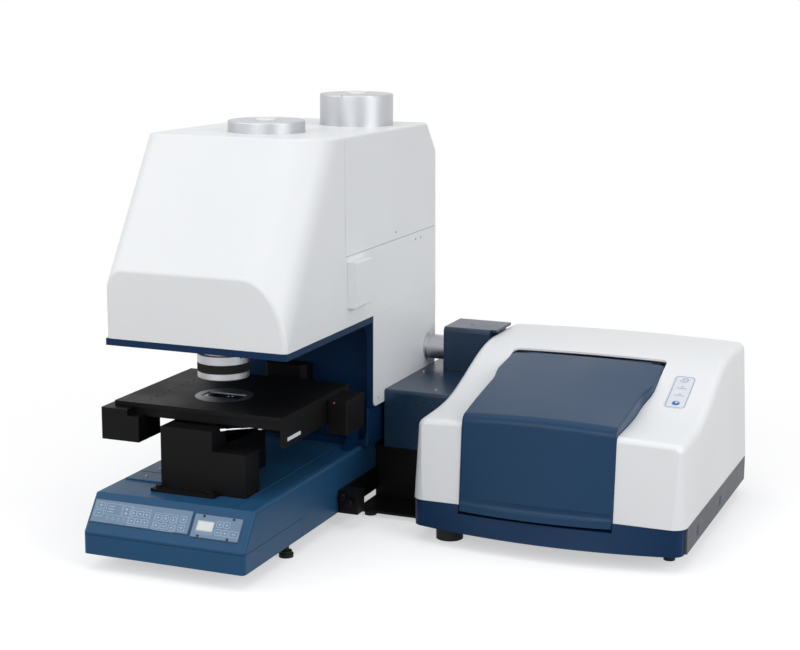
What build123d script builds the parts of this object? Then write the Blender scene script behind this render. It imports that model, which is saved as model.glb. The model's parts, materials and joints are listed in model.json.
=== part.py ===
from build123d import *

import os
from math import atan2, cos, degrees, hypot, radians, sin, tan

# An infrared microscope (left) joined to an FTIR spectrometer (right) by an interface box.
# Millimetres, +X to the right, +Y to the back, +Z up, origin under the middle of the whole.

os.makedirs("parts", exist_ok=True)

# Layout of the two instruments
head_width = 269.0
head_depth = 538.6
unit_gap = 100.0
spec_width = 386.0
spec_depth = 428.0
spec_setback = 185.0
console_projection = 96.0
drive_overhang = 4.6

# Walls, seams and clearances
wall = 3.0
seam = 0.6
seat = 0.3
running = 0.05

# Microscope: base with its sloping console
base_width = 237.5
base_bottom = 22.0
base_top = 98.0
console_lip = 52.0
console_angle = 53.7
base_edge = 6.0
tray_top = 49.0
tray_length = 174.0
scope_foot_radius = 10.0
scope_foot_inset = 13.0
light_well = 60.0

# Microscope: column and side panels
throat_depth = 285.0
panel_thickness = 6.0
panel_bottom = 157.0
panel_corner = 12.0
gusset_height = 55.0
gusset_run = 34.0
gusset_width = 14.0
throat_flange = 3.0
throat_recess = 12.0
throat_border = 9.0
recess_corner = 12.0

# Microscope: head
head_bottom = 283.3
band_height = 9.3
head_corner = 65.0
head_left_corner = 26.0
roof_round = 4.0
chin_round = 8.0
head_top = 559.0
head_fall = 5.0
head_slope = 0.645
chin_top = 386.0
side_draft = 0.010
front_seam = 192.0
rear_seam = 392.0
rear_chamfer = 46.0
rear_chamfer_start = 500.0

# Microscope: side slot cover
slot_front = 197.0
slot_back = 254.0
slot_low = 319.0
slot_high = 384.0
slot_stand_out = 12.0
slider_length = 40.0
slider_web = 7.0
slider_window = 30.0
slot_frame = 4.0
slot_round = 2.0

# Microscope: detector dewars
front_dewar_radius = 54.5
front_dewar_x = 133.0
front_dewar_y = 223.0
front_dewar_top = 573.6
rear_dewar_radius = 54.5
rear_dewar_x = 188.0
rear_dewar_y = 414.0
rear_dewar_top = 601.0
dewar_body_radius = 44.0
dewar_shelf = 400.0
dewar_cap_radius = 15.0
dewar_cap_height = 5.0
dewar_neck_bore = 8.0
dewar_stopper_length = 24.0
dewar_rim = 2.0
dewar_floor = 20.0
cap_sink = 2.0
cap_round = 1.5
front_dewar_sink = 16.0
rear_dewar_sink = 8.0

# Microscope: objective, on the optical axis
axis_x = 130.0
axis_y = 90.0
objective_bottom = 233.0
barrel_radius = 33.5
ring_radius = 36.0
grip_radius = 35.6
nose_radius = 35.5
light_bore = 22.0

# Microscope: stage
stage_top = 206.0
stage_left = 7.0
stage_right = 260.0
stage_front = 6.0
stage_depth = 215.0
plate_thickness = 6.5
stage_frame_height = 11.5
stage_opening = 128.0
skirt_thickness = 4.0
skirt_bottom = 165.0
skirt_length = 172.0
insert_radius = 40.0
insert_lip = 2.0
slide_gap = 0.3
stage_travel_x = 25.0
stage_travel_y = 20.0
fork_height = 12.0
fork_arm = 26.0
fork_gap = 134.0
fork_corner = 4.0
fork_web = 16.0
carriage_depth = 26.0
carriage_drop = 40.0
frame_inset = 24.0
frame_setback = 3.0
insert_step = 6.0
plate_corner = 1.5
hole_count = 8
hole_row_x = 41.0
hole_row_start = 26.0
hole_pitch = 17.5
hole_radius = 1.6
hole_depth = 3.0

# Microscope: stage drives
drive_width = 57.6
drive_height = 44.0
drive_depth = 58.0
drive_lead = 16.0
drive_notch = 17.0
drive_notch_drop = 8.5
motor_width = 30.0
motor_height = 48.0
motor_depth = 62.0
motor_front = 146.0
motor_corner = 2.0

# Microscope: condenser under the stage
cover_left = 91.0
cover_right = 217.0
cover_front = -18.0
cover_depth = 40.0
cover_top = 184.0
cover_step_x = 168.0
cover_step_top = 157.0
cover_floor = 98.0
condenser_radius = 27.0
condenser_top = 189.0

# Interface between the two instruments
low_box_front = 330.0
low_box_back = 572.0
low_box_bottom = 88.0
low_box_top = 175.0
tall_box_gap = 35.0
tall_box_ahead = 26.0
tall_box_behind = 56.0
tall_box_top = 243.0
cap_overhang = 19.0
cap_thickness = 4.0
tall_box_round = 7.0
beam_radius = 19.0
beam_y = 510.0
beam_z = 205.5
beam_wall = 2.5
beam_collar = 3.0
low_box_round = 5.0
port_margin = 10.0
stand_front = 262.0
stand_sheet = 4.0
stand_rail = 6.0
clamp_front = 197.0
clamp_depth = 25.0
clamp_width = 30.0
clamp_height = 33.0

# Spectrometer: base
spec_bottom = 23.0
spec_base_top = 60.0
front_bulge_low = 25.0
front_bulge_high = 7.0
skirt_plate = 3.0
plug_radius = 8.0
plug_front = 84.0
plug_back = 229.0
plug_height = 38.5

# Spectrometer: cover
shoulder_height = 172.5
shelf_rise = 9.0
shelf_length = 128.0
rear_height = 233.0
cover_crown = 4.5
cover_draft = 3.0
cover_edge = 20.0
cover_side_round = 12.0
cover_end_round = 8.0
tower_lean = 8.0
ramp_middle = 216.0
ramp_middle_rise = 40.0
ramp_end = 270.0
ramp_end_drop = 3.5
roof_middle = 360.0
roof_swell = 2.0

# Spectrometer: compartment and its lid
lid_left = 72.0
lid_width = 217.0
lid_flare = 7.0
lid_flare_start = 130.0
lid_flare_end = 185.0
lid_bottom = 52.0
lid_fold_height = 186.0
lid_rear_height = 225.0
lid_depth = 250.0
lid_corner = 8.0
lid_wall = 4.0
lid_bow = 11.0
lid_upper_bow = 0.45
lid_lip = 2.0
lid_lean = 8.0
lid_top_crown = 5.0
lid_fold_radius = 12.0
lid_edge = 3.0
lid_left_rise = 4.0
lid_right_dip = 3.0
pull_height = 68.0
pull_depth = 2.5
pull_radius = 10.0
hinge_radius = 3.2
hinge_pin_radius = 1.5
lid_swing_gap = 2.0

# Spectrometer: controls on the right slope
strip_left = 318.5
strip_width = 28.5
strip_length = 80.0
strip_thickness = 1.2
strip_corner = 5.0
strip_slope = 0.93
power_setback = 9.0
start_lead = 12.0
button_travel = 1.0
power_radius = 5.5
start_radius = 5.0

# Spectrometer: feet
big_foot_radius = 19.0
small_foot_radius = 8.0
foot_inset = 47.0
rear_foot_inset = 50.0
front_foot_setback = 32.0
small_foot_inset = 32.0
small_foot_setback = 59.0

# Frames of the two instruments, at the front left corner of each, on the table
left_edge = -(drive_overhang + head_width + unit_gap + spec_width) / 2
front_edge = -(console_projection + spec_setback + spec_depth) / 2
scope_x = left_edge + drive_overhang
scope_y = front_edge + console_projection
spec_x = scope_x + head_width + unit_gap
spec_y = scope_y + spec_setback
scope = Plane(origin=(scope_x, scope_y, 0))
spec = Plane(origin=(spec_x, spec_y, 0))


def level(frame, z):
    """A horizontal sketch plane at height z of an instrument's frame."""
    return frame.offset(z)


def side(frame, x):
    """An upright sketch plane at x of a frame, Y to the right and Z up, facing +X."""
    return Plane(origin=frame.origin + Vector(x, 0, 0), x_dir=(0, 1, 0), z_dir=(1, 0, 0))


def face(frame, y):
    """An upright sketch plane at y of a frame, X to the right and Z up, facing the front."""
    return Plane(origin=frame.origin + Vector(0, y, 0), x_dir=(1, 0, 0), z_dir=(0, -1, 0))


def block(x, y, z, mode=Mode.ADD):
    """A box between two x, two y and two z values of the frame in use."""
    with Locations(((x[0] + x[1]) / 2, (y[0] + y[1]) / 2, (z[0] + z[1]) / 2)):
        Box(x[1] - x[0], y[1] - y[0], z[1] - z[0], mode=mode)


def rod(x, y, z, radius, mode=Mode.ADD):
    """An upright cylinder at x, y between two heights."""
    with Locations((x, y, (z[0] + z[1]) / 2)):
        Cylinder(radius, z[1] - z[0], mode=mode)


def save(piece, name):
    """Label a finished piece and write its file."""
    piece.part.label = name
    export_step(piece.part, f"parts/{name}.step")


# Microscope base: a sheet housing with a sloping console, split off a lower tray at the front
base_left = (head_width - base_width) / 2
base_right = base_left + base_width
console_front = -console_projection
console_run = (base_top - console_lip) / tan(radians(console_angle))
tray_back = console_front + tray_length


def base_form(inset):
    """The outer form of the whole base, shrunk by inset on every wall but the underside."""
    with BuildPart() as form:
        with BuildSketch(side(Plane.XY, base_left + inset)):
            with BuildLine():
                Polyline(
                    (console_front + inset, base_bottom),
                    (console_front + inset, console_lip - inset * tan(radians(console_angle / 2))),
                    (console_front + console_run + inset * tan(radians(console_angle / 2)), base_top - inset),
                    (head_depth - inset, base_top - inset),
                    (head_depth - inset, base_bottom),
                    close=True,
                )
            make_face()
        extrude(amount=base_width - 2 * inset)
        corners = form.edges().filter_by(GeomType.LINE).filter_by(
            lambda edge: abs(edge.tangent_at(0).X) < 0.1 and edge.center().Z > base_bottom + 1
        )
        fillet(corners, radius=base_edge - inset)
    return form.part


base_outer = base_form(0)
base_inner = base_form(wall)

with BuildPart(scope) as base_housing:
    add(base_outer)
    add(base_inner, mode=Mode.SUBTRACT)
    block((0, head_width), (console_front - 1, tray_back), (0, tray_top), mode=Mode.SUBTRACT)
    block((axis_x - light_well / 2, axis_x + light_well / 2),
          (axis_y - light_well / 2, axis_y + light_well / 2),
          (base_top - 2 * wall, base_top + 1), mode=Mode.SUBTRACT)
save(base_housing, "base_housing")

with BuildPart(scope) as base_tray:
    add(base_outer)
    add(base_inner, mode=Mode.SUBTRACT)
    block((0, head_width), (console_front - 1, tray_back - seam), (base_bottom, tray_top - seam),
          mode=Mode.INTERSECT)
save(base_tray, "base_tray")

with BuildPart(scope) as base_plate:
    block((base_left + wall + seat, base_right - wall - seat),
          (console_front + 2 * base_edge, head_depth - wall - seat), (base_bottom, base_bottom + wall))
    fillet(base_plate.edges().filter_by(Axis.Z), radius=base_edge)
save(base_plate, "base_plate")

# Key panel and display panel, let into the slope of the console
slope = Plane(
    origin=(scope_x, scope_y + console_front, console_lip),
    x_dir=(1, 0, 0),
    z_dir=(0, -sin(radians(console_angle)), cos(radians(console_angle))),
)
console_plate = 1.2
console_plate_corner = 2.0
console_plate_gap = 3.0
key_panel_left = 21.0
key_panel_width = 147.0
key_panel_low = 14.5
panel_height = 32.5
display_width = 70.0
display_low = 12.5
screen_left = 7.5
screen_low = 10.2
screen_width = 22.0
screen_height = 12.0

with BuildPart(slope) as key_panel:
    with BuildSketch(slope):
        with Locations((key_panel_left + key_panel_width / 2, key_panel_low + panel_height / 2)):
            RectangleRounded(key_panel_width, panel_height, console_plate_corner)
    extrude(amount=console_plate)
save(key_panel, "key_panel")

display_left = key_panel_left + key_panel_width + console_plate_gap
with BuildPart(slope) as display_panel:
    with BuildSketch(slope):
        with Locations((display_left + display_width / 2, display_low + panel_height / 2)):
            RectangleRounded(display_width, panel_height, console_plate_corner)
    extrude(amount=console_plate)
    with BuildSketch(slope.offset(console_plate)):
        with Locations((display_left + screen_left + screen_width / 2,
                        display_low + screen_low + screen_height / 2)):
            Rectangle(screen_width, screen_height)
    extrude(amount=-console_plate, mode=Mode.SUBTRACT)
save(display_panel, "display_panel")

# Column: a box section behind the throat, open to the head, with flared gussets on the base
column_left = panel_thickness
column_right = head_width - panel_thickness
column_back = head_depth - wall
beam_hole = beam_radius + seat
recess_back = throat_depth + throat_recess
recess_bottom = base_top + 3 * wall
recess_top = head_bottom - throat_border
column_round = 5.0
panel_screw_setback = 22.0
panel_screw_rise = 10.0
panel_screw_radius = 2.2

with BuildPart(scope) as column:
    block((column_left, column_right), (throat_depth, column_back), (base_top, head_bottom))
    front_corners = column.edges().filter_by(Axis.Z).sort_by(Axis.Y)[:2]
    fillet(front_corners, radius=column_round)
    block((0, head_width), (throat_depth, throat_depth + throat_flange), (panel_bottom, head_bottom))
    with BuildSketch(face(scope, throat_depth)):
        with Locations((head_width / 2, (recess_bottom + recess_top) / 2)):
            RectangleRounded(head_width - 2 * throat_border, recess_top - recess_bottom, recess_corner)
    extrude(amount=-throat_recess, mode=Mode.SUBTRACT)
    block((column_left + wall, column_right - wall), (recess_back + wall, column_back - wall),
          (base_top + wall, head_bottom + 1), mode=Mode.SUBTRACT)
    for gusset_left in (base_left + base_edge, base_right - base_edge - gusset_width):
        with BuildSketch(side(scope, gusset_left)):
            with BuildLine():
                foot_point = (throat_depth - gusset_run, base_top)
                head_point = (throat_depth, base_top + gusset_height)
                Line(foot_point, (throat_depth + 1, base_top))
                Line((throat_depth + 1, base_top), (throat_depth + 1, base_top + gusset_height))
                Line((throat_depth + 1, base_top + gusset_height), head_point)
                Spline(head_point, foot_point, tangents=((0, -1), (-1, -0.25)))
            make_face()
        extrude(amount=gusset_width)
    with BuildSketch(side(scope, column_right + 1)):
        with Locations((beam_y, beam_z)):
            Circle(beam_hole)
    extrude(amount=-2 * wall, mode=Mode.SUBTRACT)
save(column, "column")

# White side panels of the column, the right one with the port for the beam tube
band_top = head_bottom + band_height

with BuildPart(scope) as column_panels:
    for inner_x in (0, column_right):
        block((inner_x, inner_x + panel_thickness), (throat_depth + throat_flange, head_depth),
              (panel_bottom, band_top))
    low_front = column_panels.edges().filter_by(Axis.X).group_by(Axis.Y)[0].group_by(Axis.Z)[0]
    fillet(low_front, radius=panel_corner)
    with BuildSketch(side(scope, -1)):
        with Locations((throat_depth + panel_screw_setback, panel_bottom + panel_screw_rise)):
            Circle(panel_screw_radius)
    extrude(amount=head_width + 2, mode=Mode.SUBTRACT)
    with BuildSketch(side(scope, column_right - 1)):
        with Locations((beam_y, beam_z)):
            Circle(beam_hole)
    extrude(amount=panel_thickness + 2, mode=Mode.SUBTRACT)
save(column_panels, "column_panels")

# Head tray: the blue band under the overhanging head, with the objective's hole
tray_opening_inset = 60.0
tray_opening_front = throat_depth + 30
tray_opening_back = head_depth - 40

with BuildPart(scope) as head_tray:
    block((0, head_width), (0, throat_depth + throat_flange), (head_bottom, band_top))
    block((column_left, column_right), (throat_depth, head_depth - wall), (head_bottom, band_top))
    rod(axis_x, axis_y, (head_bottom - 1, band_top + 1), light_bore, mode=Mode.SUBTRACT)
    block((tray_opening_inset, head_width - tray_opening_inset), (tray_opening_front, tray_opening_back),
          (head_bottom - 1, band_top + 1), mode=Mode.SUBTRACT)
save(head_tray, "head_tray")

# Head covers: one drafted, slanted body with large round corners, cut upright at the chin,
# rounded at the roof, and divided into a front cover and two rear covers
slant_inset = hypot(1, head_slope)


def head_front_at(z):
    """How far back the slanted front stands at a height."""
    return (z - chin_top) * head_slope


def head_section(z, inset):
    """Front, left and right of the slanted body at a height: only its right side is drafted."""
    front = head_front_at(z) + inset * slant_inset
    left = inset
    right = head_width - (z - band_top) * side_draft - inset
    return front, left, right


def head_form(inset):
    """The closed form of the head, shrunk by inset on every wall but the underside."""
    top = head_top - inset
    with BuildPart() as form:
        for z in (band_top, top):
            front, left, right = head_section(z, inset)
            back = head_depth - inset
            with BuildSketch(level(Plane.XY, z)):
                with BuildLine():
                    left_round = head_left_corner - inset
                    right_round = head_corner - inset
                    Line((left, back), (left, front + left_round))
                    RadiusArc((left, front + left_round), (left + left_round, front), -left_round)
                    Line((left + left_round, front), (right - right_round, front))
                    RadiusArc((right - right_round, front), (right, front + right_round), -right_round)
                    Line((right, front + right_round), (right, back))
                    Line((right, back), (left, back))
                make_face()
        loft(ruled=True)
        with BuildSketch(side(Plane.XY, -1)):
            with BuildLine():
                Polyline(
                    (inset, band_top - 1),
                    (inset, top + 1),
                    (head_front_at(top), top),
                    (rear_chamfer_start, top - head_fall),
                    (head_depth - inset, top - head_fall - rear_chamfer),
                    (head_depth - inset, band_top - 1),
                    close=True,
                )
            make_face()
        extrude(amount=head_width + 2, mode=Mode.INTERSECT)
        roof_edges = form.edges().filter_by(
            lambda edge: edge.center().Z > top - head_fall - 1
            and edge.center().Y < rear_chamfer_start - 10
            and edge.length > head_left_corner
        )
        fillet(roof_edges, radius=roof_round - inset)
        chin_edges = form.edges().filter_by(
            lambda edge: abs(edge.center().Y - inset) < 0.5 and edge.center().Z > band_top + 1
        )
        fillet(chin_edges, radius=chin_round - inset)
    return form.part


head_outer = head_form(0)
head_inner = head_form(wall)

with BuildPart(scope) as head_front_cover:
    add(head_outer)
    add(head_inner, mode=Mode.SUBTRACT)
    block((-1, head_width + 1), (-1, front_seam - seam), (band_top, head_top + 1), mode=Mode.INTERSECT)
    rod(front_dewar_x, front_dewar_y, (dewar_shelf, head_top + 1), front_dewar_radius + seat,
        mode=Mode.SUBTRACT)
save(head_front_cover, "head_front_cover")

with BuildPart(scope) as head_rear_upper:
    add(head_outer)
    add(head_inner, mode=Mode.SUBTRACT)
    block((-1, head_width + 1), (front_seam, head_depth + 1), (rear_seam, head_top + 1), mode=Mode.INTERSECT)
    rod(front_dewar_x, front_dewar_y, (dewar_shelf, head_top + 1), front_dewar_radius + seat,
        mode=Mode.SUBTRACT)
    rod(rear_dewar_x, rear_dewar_y, (dewar_shelf, head_top + 1), rear_dewar_radius + seat, mode=Mode.SUBTRACT)
save(head_rear_upper, "head_rear_upper")

with BuildPart(scope) as head_rear_lower:
    add(head_outer)
    add(head_inner, mode=Mode.SUBTRACT)
    block((-1, head_width + 1), (front_seam, head_depth + 1), (band_top, rear_seam - seam),
          mode=Mode.INTERSECT)
    block((head_width / 2, head_width + 1), (slot_front + slot_frame, slot_back - slot_frame),
          (slot_low + slot_frame, slot_high - slot_frame), mode=Mode.SUBTRACT)
save(head_rear_lower, "head_rear_lower")

# Slot cover: a handle block on the side with a filter slide behind it
slide_inset = slot_frame + 1
slide_inner = head_width - side_draft * (slot_high - band_top) - wall - slider_length
with BuildPart(scope) as slot_cover:
    with BuildSketch(face(scope, slot_front)):
        with BuildLine():
            Polyline(
                (head_width - side_draft * (slot_low - band_top) + seat, slot_low),
                (head_width + slot_stand_out, slot_low),
                (head_width + slot_stand_out, slot_high),
                (head_width - side_draft * (slot_high - band_top) + seat, slot_high),
                close=True,
            )
        make_face()
    extrude(amount=-(slot_back - slot_front))
    fillet(slot_cover.edges().filter_by(Axis.Y).sort_by(Axis.X)[-2:], radius=slot_round)
    block((slide_inner, head_width + slot_stand_out / 2), (slot_front + slide_inset, slot_back - slide_inset),
          (slot_low + slide_inset, slot_high - slide_inset))
    with BuildSketch(face(scope, slot_front)):
        with Locations((slide_inner + slider_length / 2, (slot_low + slot_high) / 2)):
            Rectangle(slider_length - 2 * slider_web, slider_window)
    extrude(amount=-(slot_back - slot_front), mode=Mode.SUBTRACT)
save(slot_cover, "slot_cover")

# Head frame: a sheet bridge inside the head that carries the two dewars
bridge_margin = 32.0
bridge_ahead = 70.0
bridge_plate = 8.0
bridge_leg = 30.0
bridge_left = bridge_margin
bridge_right = head_width - bridge_margin
bridge_front = front_dewar_y - bridge_ahead
bridge_back = head_depth - bridge_margin
with BuildPart(scope) as head_frame:
    block((bridge_left, bridge_right), (bridge_front, bridge_back), (dewar_shelf - bridge_plate, dewar_shelf))
    for leg_x in (bridge_left, bridge_right - bridge_plate):
        for leg_y in (bridge_front, bridge_back - bridge_leg):
            block((leg_x, leg_x + bridge_plate), (leg_y, leg_y + bridge_leg), (band_top, dewar_shelf))
save(head_frame, "head_frame")


def dewar(x, y, radius, top, low_cover):
    """A detector dewar: a vessel on the shelf and a turned cover that stands out of the roof."""
    with BuildPart(scope) as vessel:
        rod(x, y, (dewar_shelf, low_cover), dewar_body_radius)
        rod(x, y, (low_cover, top), radius)
        rim = vessel.edges().filter_by(GeomType.CIRCLE).group_by(Axis.Z)[-1]
        fillet(rim, radius=dewar_rim)
        rod(x, y, (top - cap_sink, top + 1), dewar_cap_radius + seat, mode=Mode.SUBTRACT)
        rod(x, y, (dewar_shelf + dewar_floor, top), dewar_neck_bore, mode=Mode.SUBTRACT)
    return vessel


def dewar_cap(x, y, top):
    """A light cap with a stopper that hangs in the dewar's neck."""
    with BuildPart(scope) as cap:
        rod(x, y, (top - cap_sink, top - cap_sink + dewar_cap_height), dewar_cap_radius)
        fillet(cap.edges().filter_by(GeomType.CIRCLE).group_by(Axis.Z)[-1], radius=cap_round)
        rod(x, y, (top - cap_sink - dewar_stopper_length, top - cap_sink), dewar_neck_bore - seat)
    return cap


roof_under_front = head_top - front_dewar_sink
roof_under_rear = head_top - head_fall - rear_dewar_sink
dewar_front = dewar(front_dewar_x, front_dewar_y, front_dewar_radius, front_dewar_top, roof_under_front)
save(dewar_front, "dewar_front")
dewar_rear = dewar(rear_dewar_x, rear_dewar_y, rear_dewar_radius, rear_dewar_top, roof_under_rear)
save(dewar_rear, "dewar_rear")
dewar_front_cap = dewar_cap(front_dewar_x, front_dewar_y, front_dewar_top)
save(dewar_front_cap, "dewar_front_cap")
dewar_rear_cap = dewar_cap(rear_dewar_x, rear_dewar_y, rear_dewar_top)
save(dewar_rear_cap, "dewar_rear_cap")

# Objective: fixed barrel, turning correction ring with a rubber grip, nose and two mirrors
ring_top = 267.0
grip_top = 255.0
grip_bottom = 243.0
sleeve_radius = 29.0
inner_bore = 24.0
nose_hole = 14.0
nose_plate = 3.0
turned_edge = 1.5
barrel_groove = 2.0
primary_low = grip_top + 2
primary_high = grip_top + 12
primary_hole = 7.0
primary_curve = 36.0
primary_dish = 8.0
secondary_low = objective_bottom + 6
secondary_high = objective_bottom + 11
secondary_radius = 6.5
spoke_width = 1.2
spoke_height = 2.0

with BuildPart(scope) as objective_barrel:
    with BuildSketch(face(scope, axis_y)):
        with BuildLine():
            Polyline(
                (axis_x + nose_hole, objective_bottom),
                (axis_x + nose_radius - turned_edge, objective_bottom),
                (axis_x + nose_radius, objective_bottom + turned_edge),
                (axis_x + nose_radius, grip_bottom - seat),
                (axis_x + sleeve_radius, grip_bottom - seat),
                (axis_x + sleeve_radius, ring_top + seat),
                (axis_x + barrel_radius - barrel_groove, ring_top + seat),
                (axis_x + barrel_radius - barrel_groove, ring_top + turned_edge),
                (axis_x + barrel_radius, ring_top + turned_edge),
                (axis_x + barrel_radius, head_bottom),
                (axis_x + inner_bore, head_bottom),
                (axis_x + inner_bore, objective_bottom + nose_plate),
                close=True,
            )
        make_face()
    revolve(axis=Axis((scope_x + axis_x, scope_y + axis_y, 0), (0, 0, 1)))
save(objective_barrel, "objective_barrel")

with BuildPart(scope) as objective_ring:
    rod(axis_x, axis_y, (grip_bottom, ring_top), ring_radius)
    rod(axis_x, axis_y, (grip_bottom - 1, grip_top), ring_radius + 1, mode=Mode.SUBTRACT)
    rod(axis_x, axis_y, (grip_bottom, grip_top), grip_radius - 2)
    chamfer(objective_ring.edges().filter_by(GeomType.CIRCLE).group_by(Axis.Z)[-1], length=0.6)
    rod(axis_x, axis_y, (grip_bottom - 1, ring_top + 1), sleeve_radius + running, mode=Mode.SUBTRACT)
save(objective_ring, "objective_ring")

with BuildPart(scope) as objective_grip:
    rod(axis_x, axis_y, (grip_bottom, grip_top), grip_radius)
    rod(axis_x, axis_y, (grip_bottom - 1, grip_top + 1), grip_radius - 2, mode=Mode.SUBTRACT)
save(objective_grip, "objective_grip")

with BuildPart(scope) as objective_mirrors:
    rod(axis_x, axis_y, (primary_low, primary_high), inner_bore - running)
    rod(axis_x, axis_y, (primary_low - 1, primary_high + 1), primary_hole, mode=Mode.SUBTRACT)
    with Locations((axis_x, axis_y, primary_low + primary_dish - primary_curve)):
        Sphere(primary_curve, mode=Mode.SUBTRACT)
    rod(axis_x, axis_y, (secondary_low, secondary_high), secondary_radius)
    for spoke in range(3):
        with Locations(Location((axis_x, axis_y, secondary_low + spoke_height / 2), (0, 0, 120 * spoke))):
            with Locations((inner_bore / 2 - running, 0, 0)):
                Box(inner_bore - 2 * running, spoke_width, spoke_height)
save(objective_mirrors, "objective_mirrors")

# Stage: an upright focus slide on the column, a fork, a frame that moves along Y and a plate along X
guide_width = 68.0
guide_thickness = 16.0
guide_chamfer = 8.0
guide_lead = 8.0
guide_bottom = recess_bottom
guide_top = stage_top + guide_lead
guide_x = head_width / 2
guide_front = throat_depth - guide_thickness

with BuildPart(scope) as focus_guide:
    with BuildSketch(level(scope, guide_bottom)):
        with BuildLine():
            Polyline(
                (guide_x - guide_width / 2, recess_back),
                (guide_x + guide_width / 2, recess_back),
                (guide_x + guide_width / 2, guide_front + guide_chamfer),
                (guide_x + guide_width / 2 - guide_chamfer, guide_front),
                (guide_x - guide_width / 2 + guide_chamfer, guide_front),
                (guide_x - guide_width / 2, guide_front + guide_chamfer),
                close=True,
            )
        make_face()
    extrude(amount=guide_top - guide_bottom)
save(focus_guide, "focus_guide")

drive_front = stage_front - drive_lead
fork_top = stage_top - plate_thickness - stage_frame_height - 2 * slide_gap
fork_bottom = fork_top - fork_height
fork_front = drive_front + drive_depth + stage_travel_y + 2
carriage_back = guide_front - slide_gap
carriage_front = carriage_back - carriage_depth
fork_left = axis_x - fork_gap / 2 - fork_arm
fork_right = axis_x + fork_gap / 2 + fork_arm

with BuildPart(scope) as stage_fork:
    block((fork_left, fork_right), (fork_front, carriage_back), (fork_bottom, fork_top))
    block((fork_left + fork_arm, fork_right - fork_arm), (fork_front - 1, carriage_front - fork_web),
          (fork_bottom - 1, fork_top + 1), mode=Mode.SUBTRACT)
    fillet(stage_fork.edges().filter_by(Axis.Z).sort_by(Axis.Y)[:4], radius=fork_corner)
    block((guide_x - guide_width / 2, guide_x + guide_width / 2), (carriage_front, carriage_back),
          (fork_bottom - carriage_drop, fork_top))
save(stage_fork, "stage_fork")

frame_bottom = fork_top + slide_gap
lever_x = 214.0
lever_y = stage_front + 27
lever_grip = 8.0
lever_z = frame_bottom - 4
lever_tip_x = cover_step_x + 5
lever_tip_y = -5.0
lever_rod_radius = 1.6
hub_radius = 5.0
hub_height = 6.0
pin_radius = 2.0
frame_top = frame_bottom + stage_frame_height
stage_back = stage_front + stage_depth
drive_top = frame_top
drive_left = -drive_overhang

with BuildPart(scope) as stage_frame:
    block((stage_left + frame_inset, stage_right), (stage_front + frame_setback, stage_back),
          (frame_bottom, frame_top))
    block((axis_x - stage_opening / 2, axis_x + stage_opening / 2),
          (axis_y - stage_opening / 2, axis_y + stage_opening / 2),
          (frame_bottom - 1, frame_top + 1), mode=Mode.SUBTRACT)
    block((stage_right - skirt_thickness, stage_right), (stage_front, stage_front + skirt_length),
          (skirt_bottom, frame_top))
    rod(lever_x, lever_y, (lever_z - hub_height / 2 - 2, frame_bottom), pin_radius)
    rod(lever_x, lever_y, (lever_z - hub_height / 2 - 2, lever_z - hub_height / 2 - seat), pin_radius + 1.5)
save(stage_frame, "stage_frame")

plate_bottom = frame_top + slide_gap
with BuildPart(scope) as stage_plate:
    block((stage_left, stage_right), (stage_front, stage_back), (plate_bottom, stage_top))
    fillet(stage_plate.edges().filter_by(Axis.Z), radius=plate_corner)
    rod(axis_x, axis_y, (stage_top - insert_lip, stage_top + 1), insert_radius, mode=Mode.SUBTRACT)
    rod(axis_x, axis_y, (plate_bottom - 1, stage_top), insert_radius - insert_step, mode=Mode.SUBTRACT)
    for hole in range(hole_count):
        rod(stage_left + hole_row_x, stage_front + hole_row_start + hole_pitch * hole,
            (stage_top - hole_depth, stage_top + 1), hole_radius, mode=Mode.SUBTRACT)
save(stage_plate, "stage_plate")

slot_width = 26.0
slot_reach = 58.0
slot_depth = 2.5
light_hole = 9.0
with BuildPart(scope) as sample_insert:
    rod(axis_x, axis_y, (stage_top - insert_lip, stage_top), insert_radius - seat)
    rod(axis_x, axis_y, (plate_bottom, stage_top - insert_lip), insert_radius - insert_step - seat)
    block((axis_x - slot_reach / 2, axis_x + slot_reach / 2),
          (axis_y - slot_width / 2, axis_y + slot_width / 2),
          (stage_top - slot_depth, stage_top + 1), mode=Mode.SUBTRACT)
    rod(axis_x, axis_y, (plate_bottom - 1, stage_top), light_hole, mode=Mode.SUBTRACT)
save(sample_insert, "sample_insert")

with BuildPart(scope) as sample_window:
    block((axis_x - slot_reach / 2 + seat, axis_x + slot_reach / 2 - seat),
          (axis_y - slot_width / 2 + seat, axis_y + slot_width / 2 - seat),
          (stage_top - slot_depth, stage_top - 1))
save(sample_window, "sample_window")

# Drives: a box at the left front moves the plate, a motor at the right rear moves the frame
with BuildPart(scope) as stage_drive_left:
    block((drive_left, drive_left + drive_width), (drive_front, drive_front + drive_depth),
          (drive_top - drive_height, drive_top))
    block((drive_left + drive_width - drive_notch, drive_left + drive_width + 1),
          (drive_front - 1, drive_front + drive_depth + 1),
          (drive_top - drive_notch_drop, drive_top + 1), mode=Mode.SUBTRACT)
    block((stage_left + frame_inset, drive_left + drive_width + 1),
          (stage_front + frame_setback - seat, drive_front + drive_depth + 1),
          (frame_bottom - seat, drive_top + 1), mode=Mode.SUBTRACT)
    fillet(stage_drive_left.edges().filter_by(Axis.Z).sort_by(Axis.Y)[:1], radius=plate_corner)
save(stage_drive_left, "stage_drive_left")

motor_left = stage_right
motor_top = frame_top
with BuildPart(scope) as stage_drive_right:
    block((motor_left, motor_left + motor_width), (motor_front, motor_front + motor_depth),
          (motor_top - motor_height, motor_top))
    fillet(stage_drive_right.edges().filter_by(Axis.Z), radius=motor_corner)
save(stage_drive_right, "stage_drive_right")

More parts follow.
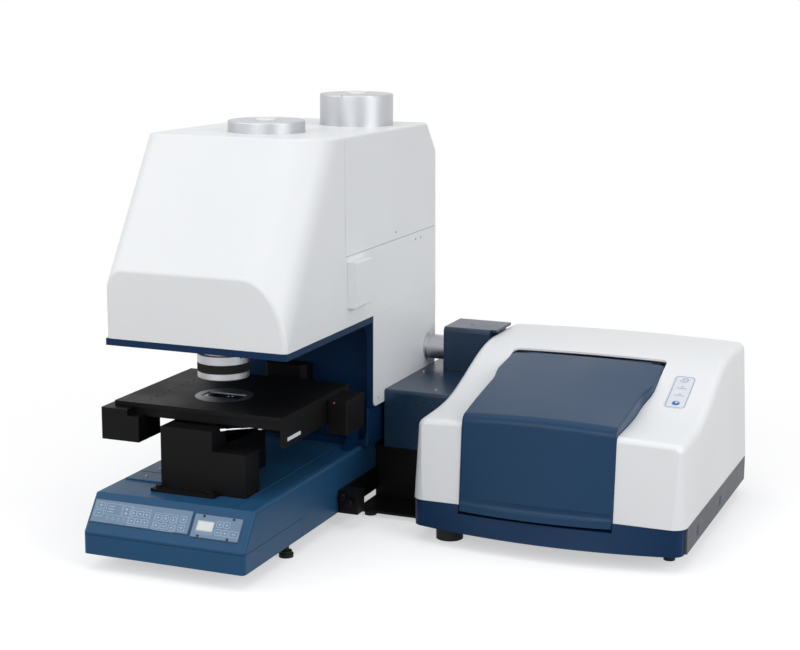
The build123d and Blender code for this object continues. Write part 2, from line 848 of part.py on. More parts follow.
# Lever at the front of the stage: a chrome rod on a small hub, turning about an upright pin
lever_length = hypot(lever_tip_x - lever_x, lever_tip_y - lever_y)
lever_turn = degrees(atan2(lever_tip_y - lever_y, lever_tip_x - lever_x))
lever_plane = Plane(
    origin=(scope_x + lever_x, scope_y + lever_y, lever_z),
    x_dir=(0, 0, 1),
    z_dir=(cos(radians(lever_turn)), sin(radians(lever_turn)), 0),
)
with BuildPart(scope) as stage_lever:
    rod(lever_x, lever_y, (lever_z - hub_height / 2, lever_z + hub_height / 2), hub_radius)
    with BuildSketch(lever_plane):
        Circle(lever_rod_radius)
    extrude(amount=lever_length)
    with BuildSketch(lever_plane.offset(lever_length - lever_grip)):
        Circle(lever_rod_radius + 1)
    extrude(amount=lever_grip)
    rod(lever_x, lever_y, (lever_z - hub_height, lever_z + hub_height), pin_radius + running,
        mode=Mode.SUBTRACT)
save(stage_lever, "stage_lever")

# Condenser: a sheet cover in front and the optical barrel behind it, standing on a flange
cover_sheet = 2.0
flange_left = 84.0
flange_right = 178.0
flange_front = -35.0
flange_thickness = 4.0
bolt_inset = 8.0
bolt_radius = 4.0


def condenser_block(inset):
    """The stepped form of the condenser's cover, open at the back where it is shrunk by inset."""
    with BuildPart() as form:
        with BuildSketch(face(Plane.XY, cover_front + inset)):
            with BuildLine():
                Polyline(
                    (cover_left + inset, cover_floor),
                    (cover_right - inset, cover_floor),
                    (cover_right - inset, cover_step_top - inset),
                    (cover_step_x - inset, cover_step_top - inset),
                    (cover_step_x - inset, cover_top - inset),
                    (cover_left + inset, cover_top - inset),
                    close=True,
                )
            make_face()
        extrude(amount=-cover_depth)
    return form.part


with BuildPart(scope) as condenser_cover:
    add(condenser_block(0))
    add(condenser_block(cover_sheet), mode=Mode.SUBTRACT)
    block((flange_left, flange_right), (flange_front, cover_front), (base_top, base_top + flange_thickness))
    for bolt_x in (flange_left + bolt_inset, flange_right - bolt_inset):
        rod(bolt_x, flange_front + bolt_inset, (base_top + flange_thickness, base_top + 2 * flange_thickness),
            bolt_radius)
save(condenser_cover, "condenser_cover")

housing_front = cover_front + cover_depth + seat
housing_back = axis_y + 46
housing_top = fork_bottom - 18
with BuildPart(scope) as condenser_housing:
    block((cover_left + 4 * cover_sheet, cover_step_x + cover_sheet), (housing_front, housing_back),
          (base_top, housing_top))
    rod(axis_x, axis_y, (base_top, housing_top + 1), condenser_radius + running, mode=Mode.SUBTRACT)
save(condenser_housing, "condenser_housing")

condenser_foot = base_top + 20
condenser_cone = 8.0
condenser_lens = 18.0
condenser_bore = 13.0
with BuildPart(scope) as condenser:
    rod(axis_x, axis_y, (condenser_foot, condenser_top - condenser_cone), condenser_radius)
    with Locations((axis_x, axis_y, condenser_top - condenser_cone / 2)):
        Cone(condenser_radius, condenser_lens, condenser_cone)
    rod(axis_x, axis_y, (condenser_foot - 1, condenser_top + 1), condenser_bore, mode=Mode.SUBTRACT)
save(condenser, "condenser")

# Interface: two sheet boxes that meet the spectrometer's drafted side, a stand, the beam tube and its collar
cover_slope = tan(radians(cover_draft))
low_box_left = head_width + seat
tall_box_left = head_width + tall_box_gap
tall_box_front = beam_y - tall_box_ahead
tall_box_back = beam_y + tall_box_behind
stand_left = base_right + seat
spec_side = head_width + unit_gap


def box_end(z):
    """Where an interface box stops short of the spectrometer's drafted side at a height."""
    return spec_side + (z - spec_base_top) * cover_slope - seat


def interface_box(left, front, depth, bottom, top, inset):
    """A box between the two instruments, its right end following the spectrometer's side."""
    with BuildPart() as box:
        with BuildSketch(face(Plane.XY, front + inset)):
            with BuildLine():
                Polyline(
                    (left + inset, bottom),
                    (box_end(bottom) - inset, bottom),
                    (box_end(top) - inset, top - inset),
                    (left + inset, top - inset),
                    close=True,
                )
            make_face()
        extrude(amount=2 * inset - depth)
    return box.part


with BuildPart(scope) as interface_low_box:
    add(interface_box(low_box_left, low_box_front, low_box_back - low_box_front, low_box_bottom,
                      low_box_top, 0))
    fillet(interface_low_box.edges().filter_by(Axis.X).group_by(Axis.Z)[-1], radius=low_box_round)
    add(interface_box(low_box_left, low_box_front, low_box_back - low_box_front, low_box_bottom,
                      low_box_top, wall),
        mode=Mode.SUBTRACT)
    block((tall_box_left + port_margin, spec_side - port_margin),
          (tall_box_front + port_margin, tall_box_back - port_margin),
          (low_box_top - wall - 1, low_box_top + 1), mode=Mode.SUBTRACT)
save(interface_low_box, "interface_low_box")

with BuildPart(scope) as interface_tall_box:
    add(interface_box(tall_box_left, tall_box_front, tall_box_back - tall_box_front, low_box_top,
                      tall_box_top, 0))
    fillet(interface_tall_box.edges().filter_by(Axis.X).group_by(Axis.Z)[-1], radius=tall_box_round)
    block((tall_box_left + cap_thickness, spec_side + cap_overhang),
          (tall_box_front + tall_box_round, tall_box_back - tall_box_round),
          (tall_box_top - cap_thickness, tall_box_top))
    add(interface_box(tall_box_left, tall_box_front, tall_box_back - tall_box_front, low_box_top,
                      tall_box_top,
                      wall), mode=Mode.SUBTRACT)
    with BuildSketch(side(scope, tall_box_left - 1)):
        with Locations((beam_y, beam_z)):
            Circle(beam_radius - beam_wall)
    extrude(amount=2 * wall, mode=Mode.SUBTRACT)
save(interface_tall_box, "interface_tall_box")

with BuildPart(scope) as beam_tube:
    with BuildSketch(side(scope, column_right - 2 * wall)):
        with Locations((beam_y, beam_z)):
            Circle(beam_radius)
            Circle(beam_radius - beam_wall, mode=Mode.SUBTRACT)
    extrude(amount=tall_box_left - column_right + 2 * wall)
    with BuildSketch(side(scope, head_width)):
        with Locations((beam_y, beam_z)):
            Circle(beam_radius + beam_collar)
            Circle(beam_radius - beam_wall, mode=Mode.SUBTRACT)
    extrude(amount=beam_wall)
save(beam_tube, "beam_tube")

# The stand: a sheet floor, a front and a rear wall under the low box, and a clamp on the microscope's base
stand_right = spec_side - wall
stand_back = low_box_back - 2 * wall
stand_floor = 6.0
stand_wall_front = low_box_front + 2 * wall
with BuildPart(scope) as interface_stand:
    block((stand_left, stand_right), (low_box_front + wall, low_box_back - wall),
          (low_box_bottom - stand_rail, low_box_bottom))
    for wall_y in (stand_wall_front, stand_back - stand_rail):
        block((stand_left, stand_right), (wall_y, wall_y + stand_rail),
              (stand_floor + stand_sheet, low_box_bottom - stand_rail))
    block((stand_left, stand_right), (stand_front, stand_back), (stand_floor, stand_floor + stand_sheet))
    block((stand_left, stand_left + stand_sheet), (clamp_front, stand_wall_front),
          (base_bottom, base_bottom + clamp_height))
    block((stand_left, stand_left + clamp_width), (clamp_front, clamp_front + clamp_depth),
          (base_bottom, base_bottom + clamp_height))
save(interface_stand, "interface_stand")

stand_foot_radius = 9.0
foot_disc = 5.0
foot_nut = 4.0
foot_stem_radius = 4.0
front_foot_y = tray_back - 24
rear_foot_y = head_depth - 40
foot_spots = [
    (foot_x, foot_y)
    for foot_x in (base_left + scope_foot_inset, base_right - scope_foot_inset)
    for foot_y in (front_foot_y, rear_foot_y)
]
stand_foot_spots = [
    (foot_x, foot_y)
    for foot_x in (stand_left + 2 * stand_foot_radius, stand_right - stand_foot_radius)
    for foot_y in (stand_front + stand_foot_radius + wall, stand_back - stand_foot_radius - wall)
]
with BuildPart(scope) as levelling_feet:
    for foot_x, foot_y in foot_spots:
        rod(foot_x, foot_y, (0, foot_disc), scope_foot_radius)
        rod(foot_x, foot_y, (foot_disc, foot_disc + foot_nut), scope_foot_radius - 2)
        rod(foot_x, foot_y, (foot_disc + foot_nut, base_bottom), foot_stem_radius)
    for foot_x, foot_y in stand_foot_spots:
        rod(foot_x, foot_y, (0, stand_floor), stand_foot_radius)
save(levelling_feet, "levelling_feet")

# Folding mirror on its post inside the interface, in line with the beam tube
post_x = (tall_box_left + spec_side) / 2
post_radius = 5.0
post_flange = 24.0
post_collar_radius = 14.0
post_collar = (low_box_bottom + 20, low_box_bottom + 34)
folding_size = 34.0
folding_thickness = 4.0
with BuildPart(scope) as folding_mirrors:
    block((post_x - post_flange / 2, post_x + post_flange / 2),
          (beam_y - post_flange / 2, beam_y + post_flange / 2),
          (low_box_bottom, low_box_bottom + post_radius))
    rod(post_x, beam_y, (low_box_bottom + post_radius, beam_z), post_radius)
    with Locations(Location((post_x, beam_y, beam_z), (0, 45, 0))):
        Box(folding_size, folding_size, folding_thickness)
    rod(post_x, beam_y, post_collar, post_collar_radius)
save(folding_mirrors, "folding_mirrors")

# Spectrometer base: a tray whose front bows out and leans back, with skirts along both sides

def bowed_outline(z, inset, bow):
    """A level outline of the tray at height z, with a bowed front edge."""
    with BuildSketch(level(Plane.XY, z)) as outline:
        with BuildLine():
            Line((inset, spec_depth - inset), (inset, inset))
            ThreePointArc((inset, inset), (spec_width / 2, inset - bow), (spec_width - inset, inset))
            Line((spec_width - inset, inset), (spec_width - inset, spec_depth - inset))
            Line((spec_width - inset, spec_depth - inset), (inset, spec_depth - inset))
        make_face()
        fillet(outline.vertices(), radius=cover_edge - inset)
    return outline.sketch


lid_right = lid_left + lid_width
with BuildPart() as tray_form:
    add(bowed_outline(spec_bottom, skirt_plate, front_bulge_low))
    add(bowed_outline(spec_base_top, skirt_plate, front_bulge_high))
    loft(ruled=True)

with BuildPart(spec) as spec_base:
    add(tray_form.part)
    block((3 * wall, spec_width - 3 * wall), (3 * wall, spec_depth - 2 * wall),
          (spec_bottom + wall, spec_base_top + 1), mode=Mode.SUBTRACT)
    block((lid_left - seam, lid_right + seam), (-front_bulge_low, 3 * wall + 1),
          (lid_bottom - 4, spec_base_top + 1),
          mode=Mode.SUBTRACT)
save(spec_base, "spec_base")

with BuildPart(spec) as side_skirts:
    for inner_x in (0, spec_width - skirt_plate):
        block((inner_x, inner_x + skirt_plate), (cover_edge, spec_depth - cover_edge),
              (spec_bottom, spec_base_top))
    with BuildSketch(side(spec, -1)):
        with Locations((plug_front, plug_height), (plug_back, plug_height)):
            Circle(plug_radius + 0.1)
    extrude(amount=spec_width + 2, mode=Mode.SUBTRACT)
save(side_skirts, "side_skirts")

with BuildPart(spec) as skirt_plugs:
    for plug_x in (0, spec_width - skirt_plate):
        with BuildSketch(side(spec, plug_x)):
            with Locations((plug_front, plug_height), (plug_back, plug_height)):
                Circle(plug_radius)
        extrude(amount=skirt_plate)
save(skirt_plugs, "skirt_plugs")

# Spectrometer cover: lofted across its width so that the top is crowned, drafted on all sides


def cover_profile(x, inset, lift):
    """The side outline of the cover at x: front, shelf, ramp and rear top."""
    low = spec_base_top
    front = inset
    back = spec_depth - inset
    shelf = shoulder_height - inset + lift
    roof = rear_height - inset + lift
    with BuildSketch(side(Plane.XY, x)) as outline:
        with BuildLine():
            Line((front, low), (front + tower_lean, shelf))
            Spline(
                (front + tower_lean, shelf),
                (shelf_length, shelf + shelf_rise),
                (ramp_middle + inset / 2, shelf + ramp_middle_rise),
                (ramp_end, roof - ramp_end_drop),
                (roof_middle, roof + roof_swell),
                (back, roof),
                tangents=((1, 0.06), (1, -0.03)),
            )
            Line((back, roof), (back, low))
            Line((back, low), (front, low))
        make_face()
    return outline.sketch


def cover_form(inset):
    """The closed form of the cover, shrunk by inset on every wall but the underside."""
    with BuildPart() as form:
        add(cover_profile(inset, inset, 0))
        add(cover_profile(spec_width / 2, inset, cover_crown))
        add(cover_profile(spec_width - inset, inset, 0))
        loft()
        with BuildSketch(level(Plane.XY, spec_base_top)):
            with Locations((spec_width / 2, spec_depth / 2)):
                RectangleRounded(spec_width - 2 * inset, spec_depth - 2 * inset, cover_edge - inset)
        extrude(amount=rear_height, taper=cover_draft, mode=Mode.INTERSECT)
    return form.part


def rounded_cover(inset):
    """The cover's form with its long side edges and its front and rear top edges rounded."""
    with BuildPart() as form:
        add(cover_form(inset))
        upper_edges = form.edges().filter_by(
            lambda edge: edge.center().Z > shoulder_height - cover_edge and abs(edge.tangent_at(0.5).Z) < 0.9
        )
        side_edges = upper_edges.filter_by(
            lambda edge: abs(edge.center().X - spec_width / 2) > spec_width / 2 - 2 * cover_edge
            and edge.length > spec_width / 2
        )
        fillet(side_edges, radius=cover_side_round - inset)
        end_edges = form.edges().filter_by(
            lambda edge: edge.center().Z > shoulder_height - cover_edge
            and abs(edge.tangent_at(0.5).X) > 0.9
            and edge.length > spec_width / 2
        )
        fillet(end_edges, radius=cover_end_round - inset)
    return form.part


cover_outer = rounded_cover(0)
cover_inner = rounded_cover(wall)
lid_back = lid_depth
hinge_y = lid_back + hinge_radius + seat
hinge_z = lid_rear_height - 2
cover_slot_back = hinge_y + hinge_radius + seat + lid_swing_gap

strip_back = 220.0
strip_front = strip_back - strip_length * strip_slope
strip_middle = strip_left + strip_width / 2


def slope_plane(x, y):
    """A plane on the cover's outer surface above x, y, facing outward."""
    hits = cover_outer.find_intersection_points(Axis((x, y, rear_height + 60), (0, 0, -1)))
    point, normal = max(hits, key=lambda hit: hit[0].Z)
    outward = normal if normal.Z > 0 else normal * -1
    return Plane(origin=Vector(*spec.origin) + point, x_dir=(1, 0, 0), z_dir=outward)


def lid_plan(margin, back):
    """The lid's outline from above, shrunk by a margin: straight in front, wider at the back."""
    front = -2 * front_bulge_low
    left = lid_left + margin
    right = lid_right - margin
    with BuildSketch() as outline:
        with BuildLine():
            Line((left, front), (left, lid_flare_start))
            Spline((left, lid_flare_start), (left - lid_flare, lid_flare_end), tangents=((0, 1), (0, 1)))
            Line((left - lid_flare, lid_flare_end), (left - lid_flare, back))
            Line((left - lid_flare, back), (right + lid_flare, back))
            Line((right + lid_flare, back), (right + lid_flare, lid_flare_end))
            Spline((right + lid_flare, lid_flare_end), (right, lid_flare_start), tangents=((0, -1), (0, -1)))
            Line((right, lid_flare_start), (right, front))
            Line((right, front), (left, front))
        make_face()
        rear_corners = outline.vertices().group_by(Axis.Y)[-1]
        fillet(rear_corners, radius=lid_corner - margin)
    return outline.sketch


power_plane = slope_plane(strip_middle, strip_back - power_setback)
start_plane = slope_plane(strip_middle, strip_front + start_lead)
hole_clearance = 0.25
window_left = 40.0
window_width = 150.0
window_low = spec_base_top + 10
window_height = 54.0
with BuildPart(spec) as spec_cover:
    add(cover_outer)
    add(cover_inner, mode=Mode.SUBTRACT)
    block((window_left, window_left + window_width), (spec_depth - 10, spec_depth + 1),
          (window_low, window_low + window_height), mode=Mode.SUBTRACT)
    for plane, radius in ((power_plane, power_radius), (start_plane, start_radius)):
        with BuildSketch(plane.offset(-2 * wall)):
            Circle(radius + hole_clearance)
        extrude(amount=3 * wall, mode=Mode.SUBTRACT)
    with BuildSketch(level(spec, spec_base_top - 1)):
        add(lid_plan(-seam, cover_slot_back))
    extrude(amount=rear_height, mode=Mode.SUBTRACT)
save(spec_cover, "spec_cover")

# Compartment lid: a bowed front panel and a crowned top that slopes up to the hinge, with side flanges
lid_middle = lid_left + lid_width / 2
lid_side_depth = 16.0
lid_flange = 16.0
fold_middle = lid_fold_radius * (1 - cos(radians(45)))


def lid_corners(inset, bow, crown):
    """The corner points of the lid's front and top, from the bottom edge to the hinge."""
    front_low = inset - bow - lid_lip
    front_high = inset - bow * lid_upper_bow + lid_lean - lid_lip
    fold = lid_fold_height + crown - inset
    rear = lid_rear_height + crown * 0.6 - inset
    return (
        (front_low, lid_bottom),
        (front_high, fold - lid_fold_radius),
        (front_high + fold_middle, fold - fold_middle),
        (front_high + lid_fold_radius, fold + 1),
        (lid_back, rear),
    )


def lid_outline(x, bow, crown, rise):
    """The side outline of the lid's outer form at x, with the lower edge of its flanges."""
    low, high, round_mid, fold_end, rear = lid_corners(0, bow, crown)
    top_mid = ((fold_end[0] + rear[0]) / 2, (fold_end[1] + rear[1]) / 2 + rise)
    rear_low = (lid_back, rear[1] - lid_flange)
    shelf_low = (shelf_length + 20, shoulder_height + 8)
    shoulder_low = (lid_side_depth, shoulder_height - 6)
    front_inner = (lid_side_depth, lid_bottom)
    with BuildSketch(side(Plane.XY, x)) as outline:
        with BuildLine():
            Line(low, high)
            ThreePointArc(high, round_mid, fold_end)
            ThreePointArc(fold_end, top_mid, rear)
            Polyline(rear, rear_low, shelf_low, shoulder_low, front_inner, low)
        make_face()
    return outline.sketch


def lid_hollow(x, bow, crown, rise):
    """The side outline at x of the space behind the lid's front and under its top."""
    low, high, round_mid, fold_end, rear = lid_corners(lid_wall, bow, crown)
    top_mid = ((fold_end[0] + rear[0]) / 2, (fold_end[1] + rear[1]) / 2 + rise)
    floor_back = (rear[0], lid_bottom - 1)
    floor_front = (low[0], lid_bottom - 1)
    with BuildSketch(side(Plane.XY, x)) as outline:
        with BuildLine():
            Line(floor_front, high)
            ThreePointArc(high, round_mid, fold_end)
            ThreePointArc(fold_end, top_mid, rear)
            Polyline(rear, floor_back, floor_front)
        make_face()
    return outline.sketch


lid_sections = (
    (lid_left - lid_flare, 0, 0, lid_left_rise),
    (lid_middle, lid_bow, lid_top_crown, lid_right_dip / 2),
    (lid_right + lid_flare, 0, 0, -lid_right_dip),
)
with BuildPart() as lid_outer:
    for x, bow, crown, rise in lid_sections:
        add(lid_outline(x, bow, crown, rise))
    loft()
    with BuildSketch():
        add(lid_plan(0, lid_back))
    extrude(amount=2 * rear_height, mode=Mode.INTERSECT)
    side_edges = lid_outer.edges().filter_by(
        lambda edge: abs(edge.center().X - lid_middle) > lid_width / 2 - lid_edge
    )
    front_edges = side_edges.filter_by(
        lambda edge: edge.center().Y < lid_fold_radius and edge.center().Z > lid_bottom + lid_edge
    )
    top_edges = side_edges.filter_by(
        lambda edge: edge.center().Y > lid_fold_radius
        and edge.center().Z > lid_fold_height + 0.1 * edge.center().Y
    )
    fillet(front_edges + top_edges, radius=lid_edge)

with BuildPart() as lid_inner:
    for x, bow, crown, rise in lid_sections:
        add(lid_hollow(x, bow, crown, rise))
    loft()
    with BuildSketch():
        add(lid_plan(lid_wall, lid_back - lid_wall))
    extrude(amount=2 * rear_height, mode=Mode.INTERSECT)

# The finger groove low on the lid's front: a bowed rod that cuts deepest in the middle
pull_share = (pull_height - lid_bottom) / (lid_fold_height - lid_fold_radius - lid_bottom)
pull_side = lid_lean * pull_share - lid_lip - pull_radius
pull_middle = pull_side - lid_bow * (1 - (1 - lid_upper_bow) * pull_share) + pull_depth
with BuildPart() as lid_pull:
    with BuildLine():
        pull_path = ThreePointArc(
            (lid_left, pull_side, pull_height),
            (lid_middle, pull_middle, pull_height),
            (lid_right, pull_side, pull_height),
        )
    with BuildSketch(Plane(origin=pull_path @ 0, z_dir=pull_path % 0)):
        Circle(pull_radius)
    sweep()

knuckle_length = 76.0
knuckle_inset = 14.0
knuckle_starts = (lid_left + knuckle_inset, lid_right - knuckle_inset - knuckle_length)
hinge_web = 1.6
with BuildPart(spec) as compartment_lid:
    add(lid_outer.part)
    add(lid_inner.part, mode=Mode.SUBTRACT)
    add(lid_pull.part, mode=Mode.SUBTRACT)
    for start in knuckle_starts:
        with BuildSketch(side(spec, start)):
            with Locations((hinge_y, hinge_z)):
                Circle(hinge_radius)
            with Locations((hinge_y - hinge_radius, hinge_z + hinge_web / 2)):
                Rectangle(2 * hinge_radius, hinge_web)
            with Locations((hinge_y, hinge_z)):
                Circle(hinge_pin_radius + running, mode=Mode.SUBTRACT)
        extrude(amount=knuckle_length)
save(compartment_lid, "compartment_lid")

# Sample compartment: an open tub on the optical bench, with beam ports and lugs for the lid's hinge
bench_bottom = spec_bottom + wall
bench_top = bench_bottom + 12
beam_height = 125.0
sample_y = 112.0
port_radius = 14.0
tub_left = lid_left - seam
tub_right = lid_right + seam
tub_front = lid_side_depth + 1
tub_back = cover_slot_back
tub_rear_top = hinge_z - lid_flange
lug_length = 12.0
lug_starts = [start - lug_length - seat for start in knuckle_starts]
lug_starts += [start + knuckle_length + seat for start in knuckle_starts]

with BuildPart(spec) as optical_bench:
    block((3 * wall + seam, spec_width - 3 * wall - seam), (3 * wall + 3, spec_depth - 2 * wall - seam),
          (bench_bottom, bench_top))
save(optical_bench, "optical_bench")

with BuildPart(spec) as sample_tub:
    for wall_x in (tub_left - wall, tub_right):
        with BuildSketch(side(spec, wall_x)):
            with BuildLine():
                Polyline(
                    (tub_front, bench_top),
                    (tub_front, shoulder_height - 9),
                    (shelf_length, shoulder_height - 2),
                    (tub_back, tub_rear_top),
                    (tub_back, bench_top),
                    close=True,
                )
            make_face()
            with Locations((sample_y, beam_height)):
                Circle(port_radius, mode=Mode.SUBTRACT)
        extrude(amount=wall)
    block((tub_left, tub_right), (tub_front, tub_back), (bench_top, bench_top + wall))
    block((tub_left, tub_right), (tub_front, tub_front + wall), (bench_top, lid_bottom + 24))
    block((tub_left - wall, tub_right + wall), (tub_back, tub_back + wall), (bench_top, tub_rear_top))
    for start in lug_starts:
        block((start, start + lug_length), (tub_back - wall, tub_back + wall),
              (tub_rear_top, hinge_z - hinge_radius))
        with BuildSketch(side(spec, start)):
            with Locations((hinge_y, hinge_z)):
                Circle(hinge_radius)
            with Locations((hinge_y, hinge_z - hinge_radius / 2)):
                Rectangle(2 * hinge_radius, hinge_radius)
        extrude(amount=lug_length)
    for start in knuckle_starts:
        with BuildSketch(side(spec, start - seat)):
            with Locations((hinge_y, hinge_z)):
                Circle(hinge_pin_radius)
        extrude(amount=knuckle_length + 2 * seat)
save(sample_tub, "sample_tub")

holder_width = 80.0
holder_depth = 70.0
holder_base = 8.0
holder_post = 6.0
holder_back = 4.0
holder_reach = 32.0
holder_top = beam_height + 35
holder_window = 13.0
holder_floor = bench_top + wall
with BuildPart(spec) as sample_holder:
    block((lid_middle - holder_width / 2, lid_middle + holder_width / 2),
          (sample_y - holder_depth / 2, sample_y + holder_depth / 2),
          (holder_floor, holder_floor + holder_base))
    for post_y in (sample_y - holder_reach, sample_y + holder_reach - holder_post):
        block((lid_middle - holder_post, lid_middle + holder_post), (post_y, post_y + holder_post),
              (holder_floor + holder_base, holder_top))
    block((lid_middle - holder_post, lid_middle - holder_post + holder_back),
          (sample_y - holder_reach, sample_y + holder_reach), (beam_height - 40, holder_top))
    with BuildSketch(side(spec, lid_middle - holder_post - 1)):
        with Locations((sample_y, beam_height)):
            Circle(holder_window)
    extrude(amount=2 * holder_post + 2, mode=Mode.SUBTRACT)
save(sample_holder, "sample_holder")

# Optics and electronics on the bench, under the closed cover
left_bay = (3 * wall + tub_left - wall) / 2
right_bay = (tub_right + wall + spec_width - 3 * wall) / 2
rear_bay = (tub_back + spec_depth) / 2 - 4
left_bay_width = tub_left - 4 * wall
pedestal_foot = 28.0
pedestal_base = 6.0
pedestal_radius = 7.0
optic_size = 40.0
optic_thickness = 6.0
splitter_size = 44.0
splitter_x = lid_right - 60
back_mirror_y = spec_depth - 30


def pedestal(x, y, top):
    """A round post on a square foot, standing on the bench."""
    block((x - pedestal_foot / 2, x + pedestal_foot / 2), (y - pedestal_foot / 2, y + pedestal_foot / 2),
          (bench_top, bench_top + pedestal_base))
    rod(x, y, (bench_top + pedestal_base, top), pedestal_radius)


def mirror_mount(x, y, turn, size):
    """A flat mirror standing on its pedestal at beam height, turned about the upright."""
    pedestal(x, y, beam_height - size / 2)
    with Locations(Location((x, y, beam_height), (0, 0, turn))):
        Box(size, optic_thickness, size)


with BuildPart(spec) as bench_mirrors:
    mirror_mount(right_bay, sample_y, 45, optic_size)
    mirror_mount(right_bay, rear_bay, -45, optic_size)
    mirror_mount(splitter_x, back_mirror_y, 0, optic_size)
save(bench_mirrors, "bench_mirrors")

with BuildPart(spec) as beamsplitter:
    mirror_mount(splitter_x, rear_bay, 45, splitter_size)
save(beamsplitter, "beamsplitter")

source_size = 40.0
source_back = spec_depth - 15
source_front = source_back - source_size
source_top = beam_height + 22
source_port = 12.0
source_snout = 5.0
with BuildPart(spec) as ir_source:
    block((right_bay - source_size / 2, right_bay + source_size / 2), (source_front, source_back),
          (bench_top, source_top))
    with BuildSketch(face(spec, source_front - source_snout)):
        with Locations((right_bay, beam_height)):
            Circle(source_port)
    extrude(amount=-2 * source_snout)
save(ir_source, "ir_source")

rail_length = 90.0
rail_start = lid_left - 10
rail_width = 32.0
rail_height = 30.0
rail_rib_width = 16.0
rail_rib_height = 8.0
with BuildPart(spec) as mirror_guide:
    block((rail_start, rail_start + rail_length), (rear_bay - rail_width / 2, rear_bay + rail_width / 2),
          (bench_top, bench_top + rail_height))
    block((rail_start, rail_start + rail_length),
          (rear_bay - rail_rib_width / 2, rear_bay + rail_rib_width / 2),
          (bench_top + rail_height, bench_top + rail_height + rail_rib_height))
save(mirror_guide, "mirror_guide")

carriage_start = rail_start + 30
carriage_length = 30.0
carriage_height = 18.0
carriage_floor = bench_top + rail_height + seat
moving_mirror_radius = 20.0
moving_mirror_depth = 8.0
moving_post = 12.0
moving_face = carriage_start + 22
with BuildPart(spec) as moving_mirror:
    block((carriage_start, carriage_start + carriage_length),
          (rear_bay - rail_width / 2, rear_bay + rail_width / 2),
          (carriage_floor, carriage_floor + carriage_height))
    block((carriage_start - 1, carriage_start + carriage_length + 1),
          (rear_bay - rail_rib_width / 2 - seat, rear_bay + rail_rib_width / 2 + seat),
          (carriage_floor - 1, carriage_floor + rail_rib_height), mode=Mode.SUBTRACT)
    with BuildSketch(side(spec, moving_face)):
        with Locations((rear_bay, beam_height)):
            Circle(moving_mirror_radius)
    extrude(amount=moving_mirror_depth)
    block((moving_face - moving_post, moving_face), (rear_bay - moving_post / 2, rear_bay + moving_post / 2),
          (carriage_floor + carriage_height, beam_height + moving_post / 2))
save(moving_mirror, "moving_mirror")

detector_left = left_bay - 20
detector_right = left_bay + 14
detector_half = 20.0
detector_port = 9.0
detector_snout = 6.0
with BuildPart(spec) as detector:
    pedestal(left_bay, sample_y, beam_height - detector_half)
    block((detector_left, detector_right), (sample_y - detector_half, sample_y + detector_half),
          (beam_height - detector_half, beam_height + detector_half))
    with BuildSketch(side(spec, detector_right)):
        with Locations((sample_y, beam_height)):
            Circle(detector_port)
    extrude(amount=detector_snout)
save(detector, "detector")

laser_start = sample_y + 60
laser_length = 70.0
laser_radius = 12.0
laser_block = 30.0
laser_overhang = 5.0
with BuildPart(spec) as laser:
    block((left_bay - left_bay_width / 4, left_bay + left_bay_width / 4),
          (laser_start, laser_start + laser_length),
          (bench_top, bench_top + laser_block))
    with BuildSketch(face(spec, laser_start - laser_overhang)):
        with Locations((left_bay, bench_top + laser_block + laser_radius - 2)):
            Circle(laser_radius)
    extrude(amount=-laser_length - 2 * laser_overhang)
save(laser, "laser")

board_left = lid_left + 60
board_right = lid_right - 90
board_front = spec_depth - 26
board_thickness = 2.0
board_low = bench_top + 6
board_height = 90.0
board_foot = 6.0
supply_front = tub_back + 30
supply_back = spec_depth - 20
supply_height = 60.0
with BuildPart(spec) as electronics:
    block((left_bay - left_bay_width / 3, left_bay + left_bay_width / 3), (supply_front, supply_back),
          (bench_top, bench_top + supply_height))
    block((board_left, board_right), (board_front, board_front + board_thickness),
          (board_low, board_low + board_height))
    for foot_x in (board_left + 1, board_right - 1 - board_foot):
        block((foot_x, foot_x + board_foot), (board_front - wall, board_front + board_foot),
              (bench_top, board_low))
save(electronics, "electronics")

# Rear connector panel behind a window in the back of the cover, with the mains inlet and vents
panel_sheet = 2.0
panel_back = spec_depth - 10
panel_left = window_left + seat
panel_right = window_left + window_width - seat
inlet_left = window_left + 12
inlet_width = 48.0
inlet_low = window_low + 8
inlet_height = 32.0
inlet_rise = 3.0
socket_inset = 10.0
socket_rise = 6.0
vent_count = 9
vent_start = window_left + 80
vent_pitch = 7.0
vent_width = 3.0
with BuildPart(spec) as rear_panel:
    block((panel_left, panel_right), (panel_back - panel_sheet, panel_back),
          (bench_top, window_low + window_height + 4))
    block((inlet_left, inlet_left + inlet_width), (panel_back - panel_sheet, panel_back + inlet_rise),
          (inlet_low, inlet_low + inlet_height))
    block((inlet_left + socket_inset, inlet_left + inlet_width - socket_inset),
          (panel_back + 1, panel_back + inlet_rise + 1),
          (inlet_low + socket_rise, inlet_low + inlet_height - socket_rise),
          mode=Mode.SUBTRACT)
    for vent in range(vent_count):
        vent_left = vent_start + vent_pitch * vent
        block((vent_left, vent_left + vent_width), (panel_back - panel_sheet - 1, panel_back + 1),
              (window_low + 6, window_low + window_height - 8), mode=Mode.SUBTRACT)
    block((panel_left, panel_right), (spec_depth - 20, panel_back), (bench_top, bench_top + panel_sheet * 3))
save(rear_panel, "rear_panel")

# Control strip on the right slope, following the cover, with two push buttons and two lamps
with BuildPart(spec) as control_strip:
    add(cover_form(-strip_thickness))
    add(cover_form(0), mode=Mode.SUBTRACT)
    with BuildSketch(level(spec, shoulder_height)):
        with Locations((strip_middle, (strip_front + strip_back) / 2)):
            RectangleRounded(strip_width, strip_back - strip_front, strip_corner)
    extrude(amount=rear_height - shoulder_height + 20, mode=Mode.INTERSECT)
    for plane, radius in ((power_plane, power_radius), (start_plane, start_radius)):
        with BuildSketch(plane.offset(-wall)):
            Circle(radius + hole_clearance)
        extrude(amount=3 * wall, mode=Mode.SUBTRACT)
save(control_strip, "control_strip")

